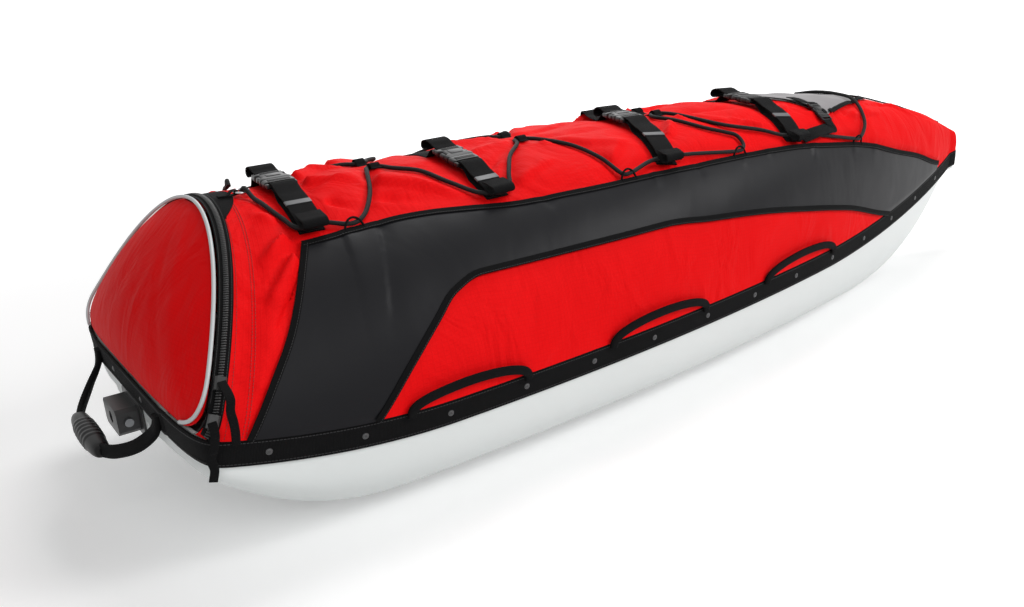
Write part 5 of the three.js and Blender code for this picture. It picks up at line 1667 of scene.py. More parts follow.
@dataclass
class SidePanels:
    """Coated panels on both sides, their binding tape and the cord's edge loops."""

    lift: float = 0.0017
    wall: float = 0.0014
    tape_width: float = 0.009
    tape_wall: float = 0.0012
    tape_lift: float = 0.0040
    stitch_share: float = 0.32
    mean_rise: float = 0.25
    loop_reach: float = 0.0125
    loop_rise: float = 0.0115
    loop_cord: float = 0.0030

    def angle(self, side: Side, station: np.ndarray, height: np.ndarray) -> np.ndarray:
        """Angle on either side at a share of the cover's height."""
        angle = LINES.angle_at_height(station, height)
        return angle if side is Side.STARBOARD else math.pi - angle

    def build(self) -> None:
        """Builds both sides."""
        for side in Side:
            self.panel(side)
            self.binding(side)

    def panel(self, side: Side) -> None:
        """One panel, a sheet stretched over the cover.

        Args:
            side: Which side.
        """
        def place(u: np.ndarray, v: np.ndarray) -> np.ndarray:
            """Columns run from the stern to the bow, rows from the lower to the upper edge.

            Args:
                u: Shares along the columns' way.
                v: Shares along the rows' way.

            Returns:
                The points.
            """
            share = PANEL.aft[0][0] + 0.0005 + (PANEL.top[-1][0] - PANEL.aft[0][0] - 0.001) * u
            low, top = PANEL.low_at(share), PANEL.top_at(share)
            top = np.maximum(top, low + 0.012)
            height = low + (top - low) * v
            station = share * LINES.length
            lift = self.lift * (0.1 + 0.9 * smooth_step(0.0, 0.05, height))
            return on_cloth(station, self.angle(side, station, height), lift)

        cloth = grid_mesh(420, 44, place)
        if side is Side.PORT:
            bmesh.ops.reverse_faces(cloth, faces=cloth.faces)
        piece = add_piece(cloth, f"side_panel_cloth_{side.word}", "sled", BLACK_COATED,
                          [f"side_panel_{side.word}"], CLOTH_EDGE, self.wall, 1.0)

    def tape_path(self, side: Side, shares: np.ndarray, heights: np.ndarray, count: int) -> tuple:
        """Points and cloth normals along a line given by shares of length and height.

        Args:
            side: Which side.
            shares: Shares of the length.
            heights: Shares of the cover's height.
            count: Number of samples.

        Returns:
            The points and the normals.
        """
        rise = self.mean_rise
        flat = np.column_stack([shares * LINES.length, heights * rise, np.zeros_like(shares)])
        run = run_along(flat)
        at = np.linspace(0, run[-1], count)
        station, height = np.interp(at, run, flat[:, 0]), np.interp(at, run, flat[:, 1]) / rise
        angle = self.angle(side, station, height)
        return on_cloth(station, angle, self.tape_lift), LINES.normal(station, angle)

    def lines(self) -> list[tuple[np.ndarray, np.ndarray, int]]:
        """The three bound edges: aft, upper, and round the insert.

        Returns:
            Shares of length and height, and a number of samples, for each.
        """
        aft = np.linspace(PANEL.aft[0][0], PANEL.aft[-1][0], 60)
        top = np.linspace(PANEL.top[0][0] - 0.002, PANEL.top[-1][0], 200)
        insert = np.linspace(PANEL.insert[0][0], PANEL.insert[-1][0], 240)
        return [(aft, smooth_along(PANEL.aft, aft), 60), (top, smooth_along(PANEL.top, top), 180),
                (insert, smooth_along(PANEL.insert, insert), 180)]

    def binding(self, side: Side) -> None:
        """Binding tape with a row of stitches, and the loops that hold the cord.

        Args:
            side: Which side.
        """
        tapes, rows = [], []
        for shares, heights, count in self.lines():
            path, normals = self.tape_path(side, shares, heights, count)
            across = width_ways(path, normals)
            tapes.append(sweep_mesh(path, across, flat_section(self.tape_width, self.tape_wall)))
            seam = path - across * self.stitch_share * self.tape_width + normals * self.tape_wall * 0.55
            rows.append(stitches(seam, normals, FINE_STITCH))
        for share in ROUTE.loops:
            tapes.append(self.cord_loop(side, share))
        add_piece(merged(tapes), f"panel_binding_tape_{side.word}", "sled", BLACK_TAPE,
                  [f"panel_binding_{side.word}"], WOVEN_EDGE)
        add_piece(merged(rows), f"panel_binding_stitching_{side.word}", "sled", BLACK_THREAD)

    def cord_loop(self, side: Side, share: float) -> bmesh.types.BMesh:
        """A short loop of thin cord sewn under the tape, that the lacing passes through.

        Args:
            side: Which side.
            share: Share of the length.

        Returns:
            The new mesh.
        """
        turns = np.linspace(-0.25, math.pi + 0.25, 26)
        station = share * LINES.length - np.cos(turns) * self.loop_reach
        climb = np.sin(turns) * self.loop_rise + 0.002
        angle = np.array([ROUTE.above_edge(float(at / LINES.length), float(up))
                          for at, up in zip(station, climb)])
        lift = 0.0036 + 0.0088 * np.maximum(np.sin(turns), 0) ** 1.4
        angle = angle if side is Side.STARBOARD else math.pi - angle
        path = on_cloth(station, angle, lift)
        return sweep_mesh(path, swept_sides(path), oval_section(self.loop_cord, self.loop_cord, 10))


@dataclass
class SternFlap:
    """Stern flap that unzips and folds down, with its piping."""

    hem: float = 0.012
    bulge: float = 0.034
    wall: float = 0.0014
    piping: float = 0.0048

    def face(self, across: np.ndarray, height: np.ndarray) -> np.ndarray:
        """Outer face: across from -1 at port to 1 at starboard, height from 0 at the band to 1 at the top.

        Args:
            across: Shares of the half width, port to starboard.
            height: Shares of the arch's height.

        Returns:
            The points.
        """
        angle = LINES.angle_at_height(LINES.arch_foot, height)
        edge = LINES.cover_point(LINES.arch_station(np.full_like(height, LINES.arch_foot), angle), angle)
        y = edge[..., 1] * across
        bulge = self.bulge * (1 - across ** 2) ** 0.8 * np.sin(math.pi * height ** 0.8) ** 0.8
        round_off = LINES.arch_foot * (1 - np.abs(across) ** 4) * (1 - height)
        lean = math.hypot(1, LINES.arch_slope)
        back = (bulge + round_off) / lean
        return np.stack([edge[..., 0] - back, y, edge[..., 2] + back * LINES.arch_slope], axis=-1)

    def build(self) -> None:
        """Builds the cloth and the piping."""
        def place(u: np.ndarray, v: np.ndarray) -> np.ndarray:
            """Columns go across, rows from the band to the top.

            Args:
                u: Shares along the columns' way.
                v: Shares along the rows' way.

            Returns:
                The points.
            """
            across = np.sin((u * 2 - 1) * QUARTER_TURN) * 0.35 + (u * 2 - 1) * 0.65
            eased = (0.5 - 0.5 * np.cos(math.pi * v)) * 0.4 + v * 0.6
            height = np.clip(self.hem + (1 - 2 * self.hem) * eased, self.hem, 1 - self.hem)
            point = self.face(across, height)
            free = (1 - across ** 2) ** 0.6 * np.sin(math.pi * np.clip(height, 0, 1)) ** 0.7
            slanted = point * np.array([1, 1.8, 0.7])
            ripple = (0.0028 * cloud(point, 8.0, 21.0) + 0.0016 * cloud(slanted, 19.0, 5.0)
                      + 0.0008 * cloud(point, 42.0, 9.0)) * free
            fan = 0.0022 * np.exp(-((across - 0.86 + 0.5 * height) / 0.07) ** 2) * free
            fan -= 0.0018 * np.exp(-((across - 0.72 + 0.65 * height) / 0.06) ** 2) * free
            point[..., 0] -= ripple + fan
            return point

        cloth = sheet_mesh(150, 120, place)
        piece = add_piece(cloth, "stern_flap_cloth", "stern_flap_part", RED_NYLON, ["stern_flap"], CLOTH_EDGE,
                          self.wall)
        line = self.arch(-0.0024, 0.0032, 0.07, 150)
        piping = sweep_mesh(line, swept_sides(line), oval_section(self.piping, self.piping, 12))
        add_piece(piping, "flap_piping_cord", "stern_flap_part", REFLECTIVE, ["flap_piping"], CLOTH_EDGE)

    @staticmethod
    def arch(offset: float, lift: float, foot: float, count: int) -> np.ndarray:
        """A line along the arch, moved forwards and off the cloth.

        Args:
            offset: Distance forwards in metres.
            lift: Distance off the cloth in metres.
            foot: Where it starts, in quarter turns from the rim.
            count: Number of samples.

        Returns:
            The points.
        """
        angles = np.linspace(foot, 2 - foot, count) * QUARTER_TURN
        stations = LINES.arch_station(np.full_like(angles, LINES.arch_foot), angles) + offset
        return LINES.on_cover(stations, angles, lift)


@dataclass
class Zip:
    """Zip tape, coil, sliders and webbing pulls, with the bare patch at its top."""

    tape_width: float = 0.017
    tape_wall: float = 0.0011
    tape_start: float = 0.003
    tape_lift: float = 0.0022
    coil_lift: float = 0.0038
    tooth_pitch: float = 0.0031
    tooth_width: float = 0.0062
    tooth_height: float = 0.0022
    tooth_twist: float = 0.18
    pull_thickness: float = 0.0022
    patch_half: float = 0.27
    patch_reach: float = 0.026
    foot: float = 0.035

    def line(self, offset: float, lift: float, count: int) -> tuple[np.ndarray, np.ndarray, np.ndarray]:
        """Points, cloth normals and side vectors along the zip.

        Args:
            offset: Distance forwards in metres.
            lift: Distance off the cloth in metres.
            count: Number of samples.

        Returns:
            The points, normals and side vectors.
        """
        angles = np.linspace(self.foot, 2 - self.foot, count) * QUARTER_TURN
        stations = LINES.arch_station(np.full_like(angles, LINES.arch_foot), angles) + offset
        path = LINES.on_cover(stations, angles, lift)
        normals = LINES.normal(stations, angles)
        return path, normals, width_ways(path, normals)

    def build(self) -> None:
        """Builds the zip's parts."""
        middle = self.tape_start + self.tape_width / 2
        path, normals, sides = self.line(middle, self.tape_lift, 170)
        tape = sweep_mesh(path, sides, flat_section(self.tape_width, self.tape_wall))
        add_piece(tape, "zip_tape_woven", "sled", BLACK_TAPE, ["zip_tape"], WOVEN_EDGE)
        self.coil(middle)
        rows = []
        for offset in (self.tape_start + 0.0016, self.tape_start + self.tape_width - 0.0018):
            seam, up, _ = self.line(offset, self.tape_lift + 0.0007, 260)
            rows.append(stitches(seam, up, ZIP_STITCH))
        add_piece(merged(rows), "zip_tape_stitching", "sled", BLACK_THREAD)
        for word in ("lower", "upper"):
            dress(f"zip_slider_{word}", BLACK_MOULDING)
            self.pull(word)
        self.patch()

    def coil(self, middle: float) -> None:
        """The coil: rounded teeth set close together, turned a little as a wound coil's are.

        Args:
            middle: Distance of its middle from the arch.
        """
        path, normals, sides = self.line(middle, self.coil_lift, 420)
        run = run_along(path)
        mesh = bmesh.new()
        for at in np.arange(self.tooth_pitch, run[-1], self.tooth_pitch):
            spot = np.array([np.interp(at, run, path[:, k]) for k in range(3)])
            nearest = int(np.searchsorted(run, at))
            side, up = sides[nearest], normals[nearest]
            twist = unit(side + np.cross(up, side) * self.tooth_twist)
            shape = Matrix.Diagonal((self.tooth_width, self.tooth_pitch * 0.62, self.tooth_height, 1))
            bmesh.ops.create_cube(mesh, size=1.0, matrix=basis(twist, np.cross(up, twist), up, spot) @ shape)
        round_edges(mesh, 0.0005, 1)
        add_piece(mesh, "zip_coil_teeth", "sled", BLACK_MOULDING, ["zip_coil"], WOVEN_EDGE)

    def pull(self, word: str) -> None:
        """A webbing pull along the middle of its solid, hanging over the rim band.

        Args:
            word: Ends its name.
        """
        low, high = (np.array(corner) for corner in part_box(f"pull_tab_{word}"))
        node = frame["nodes"][f"pull_tab_{word}"]
        corners = np.array([vert.co[:] for vert in node.data.vertices])
        rows = []
        for height in np.linspace(high[2], low[2], 6):
            near = corners[np.argsort(np.abs(corners[:, 2] - height))[:6]]
            rows.append([near[:, 0].mean(), near[:, 1].mean(), height])
        path = smooth_path(np.array(rows), 40)
        sides = np.tile(np.array([1.0, 0, 0]), (len(path), 1))
        width = high[0] - low[0]
        width = width - 0.002 if width < 0.014 else 0.010
        webbing = sweep_mesh(path, sides, flat_section(width, self.pull_thickness))
        add_piece(webbing, f"pull_tab_webbing_{word}", f"pull_{word}", BLACK_WEBBING, [f"pull_tab_{word}"],
                  WOVEN_EDGE)

    def patch(self) -> None:
        """Bare woven patch in front of the zip's top."""
        half = self.patch_half
        start = self.tape_start + self.tape_width + 0.0004

        def place(u: np.ndarray, v: np.ndarray) -> np.ndarray:
            """Columns go across, rows forwards.

            Args:
                u: Shares along the columns' way.
                v: Shares along the rows' way.

            Returns:
                The points.
            """
            across = (u * 2 - 1) * half
            length = self.patch_reach * np.maximum(1 - (across / half) ** 2, 0.08)
            angle = LINES.angle_at_across(LINES.arch_foot, across)
            station = LINES.arch_station(np.full_like(angle, LINES.arch_foot), angle) + start + length * v
            return on_cloth(station, angle, 0.0012)

        cloth = sheet_mesh(60, 12, place)
        add_piece(cloth, "label_patch_woven", "sled", BLACK_TAPE, ["label_patch"], WOVEN_EDGE,
                  self.tape_wall, 1.0)


def dress(node: str, finish: Finish) -> None:
    """Gives a carried-over node its finish.

    Args:
        node: The node's name.
        finish: Its finish.
    """
    piece = frame["nodes"][node]
    material = finish.material()
    if not piece.material_slots:
        piece.data.materials.append(material)
    for slot in piece.material_slots:
        slot.material = material
    log.info("%s: dressed", node)


@dataclass
class SideReleaseBuckle:
    """Side-release buckle in its own frame: Y runs from plug to socket, Z off the cloth.

    Mouth and height are the socket's half widths and half heights along Y, and nose is the plug's half
    widths. Arm holds size, place and edge radius of a sprung arm, its side button and the web between.
    """

    name: str
    frame: Matrix
    wall: float = 0.0019
    rail_x: float = 0.0182
    bar: float = 0.0034
    mouth: Table = ((0.0, 0.0196), (0.0016, 0.0212), (0.0075, 0.0213), (0.0105, 0.0172), (0.0115, 0.0162),
                    (0.0225, 0.0162), (0.0240, 0.0172), (0.0285, 0.0208), (0.0345, 0.0210), (0.0365, 0.0198))
    height: Table = ((0.0, 0.0048), (0.004, 0.0055), (0.012, 0.0057), (0.026, 0.0056), (0.0365, 0.0042))
    nose: Table = ((-0.0155, 0.0192), (-0.0140, 0.0207), (-0.0040, 0.0210), (-0.0012, 0.0204),
                   (-0.0004, 0.0190))
    arm: Sequence[tuple] = (((0.0040, 0.0325, 0.0050), (0.0118, 0.0158), 0.0012),
                            ((0.0056, 0.0118, 0.0074), (0.0181, 0.0172), 0.0022),
                            ((0.0050, 0.0040, 0.0052), (0.0148, 0.0172), 0.0012))

    def tube(self, widths: Table, heights: Table, steps: int) -> bmesh.types.BMesh:
        """A rounded, open tube along Y.

        Args:
            widths: Half widths along Y.
            heights: Half heights along Y.
            steps: Rows of faces.

        Returns:
            The new mesh.
        """
        ring = oval_section(2.0, 2.0, 40, 5.5)

        def place(u: np.ndarray, v: np.ndarray) -> np.ndarray:
            """Columns go round, rows along Y.

            Args:
                u: Shares along the columns' way.
                v: Shares along the rows' way.

            Returns:
                The points.
            """
            column = np.rint(u * (len(ring) - 1)).astype(int)
            y = widths[0][0] + (widths[-1][0] - widths[0][0]) * v
            x, z = smooth_along(widths, y), smooth_along(heights, y)
            return np.stack([ring[column, 0] * x, y, ring[column, 1] * z], axis=-1)

        mesh = grid_mesh(len(ring) - 1, steps, place)
        bmesh.ops.remove_doubles(mesh, verts=mesh.verts, dist=1e-6)
        bmesh.ops.recalc_face_normals(mesh, faces=mesh.faces)
        return mesh

    def ladder(self, near: float, far: float) -> list[bmesh.types.BMesh]:
        """Two rails and the bar that the webbing runs round.

        Args:
            near: Where the rails start along Y.
            far: Where they end along Y.

        Returns:
            Their meshes.
        """
        middle, run = (near + far) / 2, abs(far - near)
        end = near + (far - near) * 0.72
        rails = [rounded_box((0.0042, run, 0.0062), (x, middle, 0), 0.0012)
                 for x in (-self.rail_x, self.rail_x)]
        return [*rails, rounded_box((self.rail_x * 2, self.bar, 0.0026), (0, end, 0), 0.0009)]

    def ribs(self, rows: Iterable[float], width: float, lift: float) -> list[bmesh.types.BMesh]:
        """Low grip ribs across the top."""
        return [rounded_box((width, 0.0012, 0.0012), (0, y, lift), 0.0004) for y in rows]

    def socket(self) -> bmesh.types.BMesh:
        """The socket: hollow body with waisted sides, raised panel, ribs and webbing bar.

        Returns:
            The new mesh.
        """
        body = self.tube(self.mouth, self.height, 60)
        bmesh.ops.solidify(body, geom=body.faces[:], thickness=self.wall)
        panel = rounded_box((0.019, 0.013, 0.0011), (0, 0.0165, 0.0058), 0.0005)
        stop = rounded_box((0.034, 0.0022, 0.0075), (0, 0.0352, 0), 0.0009)
        return merged([body, panel, stop, *self.ladder(0.0350, 0.0440),
                       *self.ribs((0.0275, 0.0300, 0.0325), 0.026, 0.0056)])

    def plug(self) -> bmesh.types.BMesh:
        """The plug: solid nose with ribs, tongue, two sprung arms with side buttons, and webbing bar.

        Returns:
            The new mesh.
        """
        heights = tuple((y, 0.0050 - 90000 * (y + 0.008) ** 4) for y, _ in self.nose)
        body = self.tube(self.nose, heights, 24)
        bmesh.ops.holes_fill(body, edges=[edge for edge in body.edges if edge.is_boundary], sides=0)
        parts = [body, rounded_box((0.008, 0.031, 0.003), (0, 0.0150, 0), 0.001)]
        for sign in (-1, 1):
            for size, (x, y), radius in self.arm:
                parts.append(rounded_box(size, (sign * x, y, 0), radius))
        return merged([*parts, *self.ladder(-0.0145, -0.0235),
                       *self.ribs((-0.0115, -0.0090, -0.0065), 0.030, 0.0049)])

    def build(self, plug_body: str) -> None:
        """Builds both halves and puts them in place.

        Args:
            plug_body: The body that the plug rides on.
        """
        for half, body in (("socket", "sled"), ("plug", plug_body)):
            mesh = self.socket() if half == "socket" else self.plug()
            bmesh.ops.transform(mesh, matrix=self.frame, verts=mesh.verts)
            add_piece(mesh, f"{self.name}_moulded_{half}", body, BLACK_MOULDING, [f"{self.name}_{half}"],
                      MOULDED_EDGE)


@dataclass
class CrossStraps:
    """Four cross straps with side-release buckles, folded ends, tails and reflective bands."""

    reflect_width: float = 0.009
    reflect_share: float = 0.42

    def stop(self, i: int, angle: float, lift: float) -> tuple[np.ndarray, np.ndarray]:
        """Point and width way of strap i where it lies on the cloth.

        Args:
            i: The strap's number, from 0.
            angle: Angle round the cover.
            lift: Distance off the cloth in metres.

        Returns:
            The point and the width way.
        """
        station = STRAPS.station(i, angle)
        fore = LINES.cover_point(station + STRAPS.width / 2, angle)
        aft = LINES.cover_point(station - STRAPS.width / 2, angle)
        return on_cloth(station, angle, lift), unit(fore - aft)

    def at_buckle(self, i: int, across: float, lift: float) -> tuple[np.ndarray, np.ndarray]:
        """Point and width way of strap i in its buckle's frame."""
        matrix = np.array(STRAPS.frame(i))
        return matrix[:3, :3] @ np.array([0, across, lift]) + matrix[:3, 3], matrix[:3, 0]

    def band(self, stops: list, count: int) -> bmesh.types.BMesh:
        """A smooth length of webbing through stops.

        Args:
            stops: Points and width ways that it runs through.
            count: Number of samples.

        Returns:
            The new mesh.
        """
        rows = np.array([np.concatenate(stop) for stop in stops])
        fine = smooth_path(rows, count)
        return sweep_mesh(fine[:, :3], unit(fine[:, 3:]), flat_section(STRAPS.width, STRAPS.thickness))

    def build(self) -> None:
        """Builds all four."""
        for i in range(4):
            self.port(i)
            self.starboard(i)
            SideReleaseBuckle(f"buckle_{i + 1}", STRAPS.frame(i)).build(f"buckle_{i + 1}_plug_part")

    def port(self, i: int) -> None:
        """Port webbing: sewn at the port panel, through the socket's bar and folded back.

        Args:
            i: The strap's number, from 0.
        """
        edge = math.pi - STRAPS.seam_angle(2 * STRAPS.ridge_shares[i] - STRAPS.edge_shares[i])
        lead = STRAPS.angle_at(i, STRAPS.socket_length + STRAPS.width * 0.7)
        reach, sunk = STRAPS.socket_length, -STRAPS.buckle_height / 4
        under, entry = STRAPS.bar_gap, STRAPS.entry
        low = [*(self.stop(i, a, STRAPS.lift) for a in np.linspace(edge, lead, 9)),
               self.at_buckle(i, reach + STRAPS.width * 0.3, sunk),
               self.at_buckle(i, reach + 0.0016, -under), self.at_buckle(i, reach - entry, -under)]
        fold = [(-entry, -under), (-entry - 0.0024, 0.0), (-entry, under), (0.004, 0.0046), (0.014, 0.0072),
                (0.026, 0.0070), (0.036, 0.0020), (0.037, -0.0045), (0.030, -0.0070), (0.021, -0.0035)]
        high = [self.at_buckle(i, reach + run, lift) for run, lift in fold]
        add_piece(merged([self.band(low, 70), self.band(high, 50)]), f"strap_{i + 1}_port_webbing", "sled",
                  BLACK_WEBBING, [f"strap_{i + 1}_port"], WOVEN_EDGE)

    def starboard(self, i: int) -> None:
        """Starboard webbing: sewn at the panel, up to the plug, and back over itself as a tail.

        Args:
            i: The strap's number, from 0.
        """
        edge = STRAPS.edge_angle(i)
        reach, sunk = STRAPS.plug_length, -STRAPS.buckle_height / 4
        base = STRAPS.angle_at(i, -reach - STRAPS.width * 0.7)
        under, bar = STRAPS.bar_gap, STRAPS.entry - reach
        low = [*(self.stop(i, a, STRAPS.lift) for a in np.linspace(edge, base, 7)),
               self.at_buckle(i, -reach - STRAPS.width * 0.25, sunk),
               self.at_buckle(i, -reach - 0.0016, -0.0026), self.at_buckle(i, bar, -under)]
        turn = STRAPS.end_radius / LINES.half_beam
        tail_lift, radius = STRAPS.tail_lift, STRAPS.end_radius
        roll = ((-1.2, 0.5), (-1.6, 1.4), (-0.8, 2), (1, 1.6), (3.2, 0.9))
        tail = [self.at_buckle(i, bar, -under), self.at_buckle(i, bar + 0.0024, 0),
                self.at_buckle(i, bar, under), self.at_buckle(i, -reach - 0.0016, 0.0044),
                *(self.stop(i, a, tail_lift) for a in np.linspace(base, edge, 7)),
                *(self.stop(i, edge + turn * on, tail_lift + radius * up) for on, up in roll)]
        webbing = merged([self.band(low, 60), self.band(tail, 90)])
        piece = add_piece(webbing, f"strap_{i + 1}_starboard_webbing", "", BLACK_WEBBING,
                          [f"strap_{i + 1}_starboard"], WOVEN_EDGE)
        self.slack(piece, i)
        mark_angle = base + (edge - base) * self.reflect_share
        rows = [self.stop(i, a, tail_lift) for a in np.linspace(mark_angle, mark_angle + 0.05, 6)]
        path = np.array([row[0] for row in rows])
        run = np.linalg.norm(path[-1] - path[0])
        path = path[0] + (path - path[0]) * min(self.reflect_width / run, 1.0)
        sides = np.array([row[1] for row in rows])
        mark = sweep_mesh(path, sides, flat_section(STRAPS.width + 0.0006, STRAPS.thickness + 0.0012))
        band = add_piece(mark, f"strap_{i + 1}_reflective_band", "", REFLECTIVE_DARK, [], WOVEN_EDGE)
        self.slack(band, i)

    def slack(self, piece: bpy.types.Object, i: int) -> None:
        """Bakes the piece's placement into its mesh; the places where it meets the panel and the plug are
        worked out but not used.

        Args:
            piece: The webbing or band.
            i: The strap's number, from 0.
        """
        edge = self.stop(i, STRAPS.edge_angle(i) + 0.03, 0.0)[0]
        top = self.at_buckle(i, -STRAPS.plug_length - 0.004, 0.0)[0]
        tuple(edge)
        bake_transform(piece)


@dataclass
class BowHood:
    """Grey coated hood over the bow, with its binding, short strap and small buckle."""

    corner: float = 0.67
    aft: float = 0.649
    corner_station: float = 0.685
    tip: float = 0.818
    power: float = 2.6
    lift: float = 0.0011
    wall: float = 0.0014
    strap_station: float = 0.679
    buckle_across: float = -0.66
    buckle_size: float = 0.62
    strap_seat: float = 0.0028
    webbing: tuple[float, float] = (0.022, 0.0014)
    tape_width: float = 0.009
    tape_wall: float = 0.0012
    ridge: tuple[float, float] = (0.79, 0.972)
    snap_spot: tuple[float, float] = (0.832, 0.13)

    def front(self, across: np.ndarray) -> np.ndarray:
        """Station share of the hood's front edge."""
        reach = np.abs(across) / self.corner
        return self.tip - (self.tip - self.corner_station) * reach ** self.power

    def back(self, across: np.ndarray) -> np.ndarray:
        """Station share of the hood's back edge."""
        return self.aft + (self.corner_station - self.aft) * (np.abs(across) / self.corner)

    def build(self) -> None:
        """Builds the hood, its binding, the nose's ridge tape, the short strap and the snap."""
        def place(u: np.ndarray, v: np.ndarray) -> np.ndarray:
            """Columns go across, rows forwards.

            Args:
                u: Shares along the columns' way.
                v: Shares along the rows' way.

            Returns:
                The points.
            """
            across = (u * 2 - 1) * self.corner
            aft = self.back(across)
            share = aft + (np.maximum(self.front(across), aft + 0.0054) - aft) * v
            station = share * LINES.length
            return on_cloth(station, LINES.angle_at_across(station, across), self.lift)

        cloth = sheet_mesh(110, 60, place)
        piece = add_piece(cloth, "bow_hood_cloth", "sled", GREY_COATED, ["bow_hood"], CLOTH_EDGE, self.wall,
                          1.0)
        tapes, rows = [], []
        for share_of, reach in ((self.front, 0.985), (self.back, 1.0)):
            across = np.linspace(-reach, reach, 120) * self.corner
            station = share_of(across) * LINES.length
            angle = LINES.angle_at_across(station, across)
            path = on_cloth(station, angle, self.lift + self.wall + 0.0009)
            normals = LINES.normal(station, angle)
            sides = width_ways(path, normals)
            tapes.append(sweep_mesh(path, sides, flat_section(self.tape_width, self.tape_wall)))
            rows.append(stitches(path + sides * 0.003 + normals * 0.0007, normals, FINE_STITCH))
        add_piece(merged(tapes), "hood_binding_tape", "sled", BLACK_TAPE, ["hood_binding"], WOVEN_EDGE)
        begin, end = self.ridge
        share = np.linspace(begin, end, 90)
        station = share * LINES.length
        angle = LINES.angle_at_across(station, 0.16 + 0.1 * (share - begin))
        path = on_cloth(station, angle, 0.0034)
        ridge = sweep_mesh(path, width_ways(path, LINES.normal(station, angle)), flat_section(0.010, 0.0014))
        add_piece(ridge, "nose_ridge_tape", "sled", BLACK_TAPE, [], WOVEN_EDGE)
        add_piece(merged(rows), "hood_binding_stitching", "sled", BLACK_THREAD)
        self.strap()
        self.snap()

    def frame(self, lift: float) -> np.ndarray:
        """Frame of the hood's buckle.

        Args:
            lift: Height of its origin off the cover.

        Returns:
            The frame.
        """
        station = self.strap_station * LINES.length
        angle = float(LINES.angle_at_across(station, self.buckle_across))
        return np.array(frame_at(station, angle, LINES.on_cover(station, angle, lift)))

    def strap(self) -> None:
        """The hood's buckle, with its upper webbing sewn on and its lower webbing put on no body and baked in
        place.
        """
        half_height = self.buckle_size * (STRAPS.buckle_lift + STRAPS.buckle_height / 2)
        matrix = self.frame(self.strap_seat + half_height)
        station = self.strap_station * LINES.length
        start = float(LINES.angle_at_across(station, self.buckle_across))
        near, far = (LINES.cover_point(station, angle) for angle in (start, start + PROBE_ANGLE))
        turn = PROBE_ANGLE / float(np.linalg.norm(far - near))
        upper, lower = (length * self.buckle_size for length in (STRAPS.socket_length, STRAPS.plug_length))
        spots = self.at_bar(matrix, 1, upper)
        for distance in np.linspace(upper + 0.011, upper + 0.034, 4):
            spots.append(on_cloth(station, start + distance * turn, self.strap_seat + 0.0018))
        self.length(matrix, spots, 1, "upper", "sled")
        spots = self.at_bar(matrix, -1, lower)
        top = start - (lower + 0.012) * turn
        foot_station, foot = STRAPS.edge_shares[3] * LINES.length + 0.020, STRAPS.edge_angle(3) + 0.01
        for share, lift in ((0, 0.0062), (0.25, 0.0085), (0.5, 0.0100), (0.75, 0.0090), (1, 0.0034)):
            at = station + (foot_station - station) * share ** 1.3
            spots.append(on_cloth(at, top + (foot - top) * share ** 0.85, lift))
        piece, path = self.length(matrix, spots, -1, "lower", "")
        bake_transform(piece)
        size = Matrix.Scale(self.buckle_size, 4)
        SideReleaseBuckle("hood_buckle", Matrix(matrix.tolist()) @ size).build("hood_buckle_plug_part")

    @staticmethod
    def at_bar(matrix: np.ndarray, way: int, reach: float) -> list[np.ndarray]:
        """Two places where the webbing passes a bar of the buckle."""
        return [matrix[:3, :3] @ np.array([0, way * run, 0]) + matrix[:3, 3]
                for run in (reach - 0.0043, reach + 0.0008)]

    def length(self, matrix: np.ndarray, spots: list, way: int, word: str, body: str) -> tuple:
        """Makes one length of the hood's webbing.

        Args:
            matrix: The buckle's frame.
            spots: Places that the webbing runs through.
            way: 1 towards port, -1 towards starboard.
            word: Ends its name.
            body: The body that it rides on, or nothing to leave it on no body.

        Returns:
            The piece and its path.
        """
        path = smooth_path(np.array(spots), 48)
        normals = np.tile(matrix[:3, 2] * way, (len(path), 1))
        webbing = sweep_mesh(path, width_ways(path, normals), flat_section(*self.webbing))
        piece = add_piece(webbing, f"hood_strap_webbing_{word}", body, BLACK_WEBBING, [f"hood_strap_{word}"],
                          WOVEN_EDGE)
        return piece, path

    def snap(self) -> None:
        """Small bright snap on the nose's ridge tape."""
        station = self.snap_spot[0] * LINES.length
        angle = float(LINES.angle_at_across(station, self.snap_spot[1]))
        matrix = cloth_frame(station, angle, 0.0044)
        mesh = bmesh.new()
        add_domes(mesh, matrix, ((0.0055, 0.3, 0.0), (0.0032, 0.7, 0.0)))
        add_piece(mesh, "nose_snap", "sled", BRIGHT_STEEL)


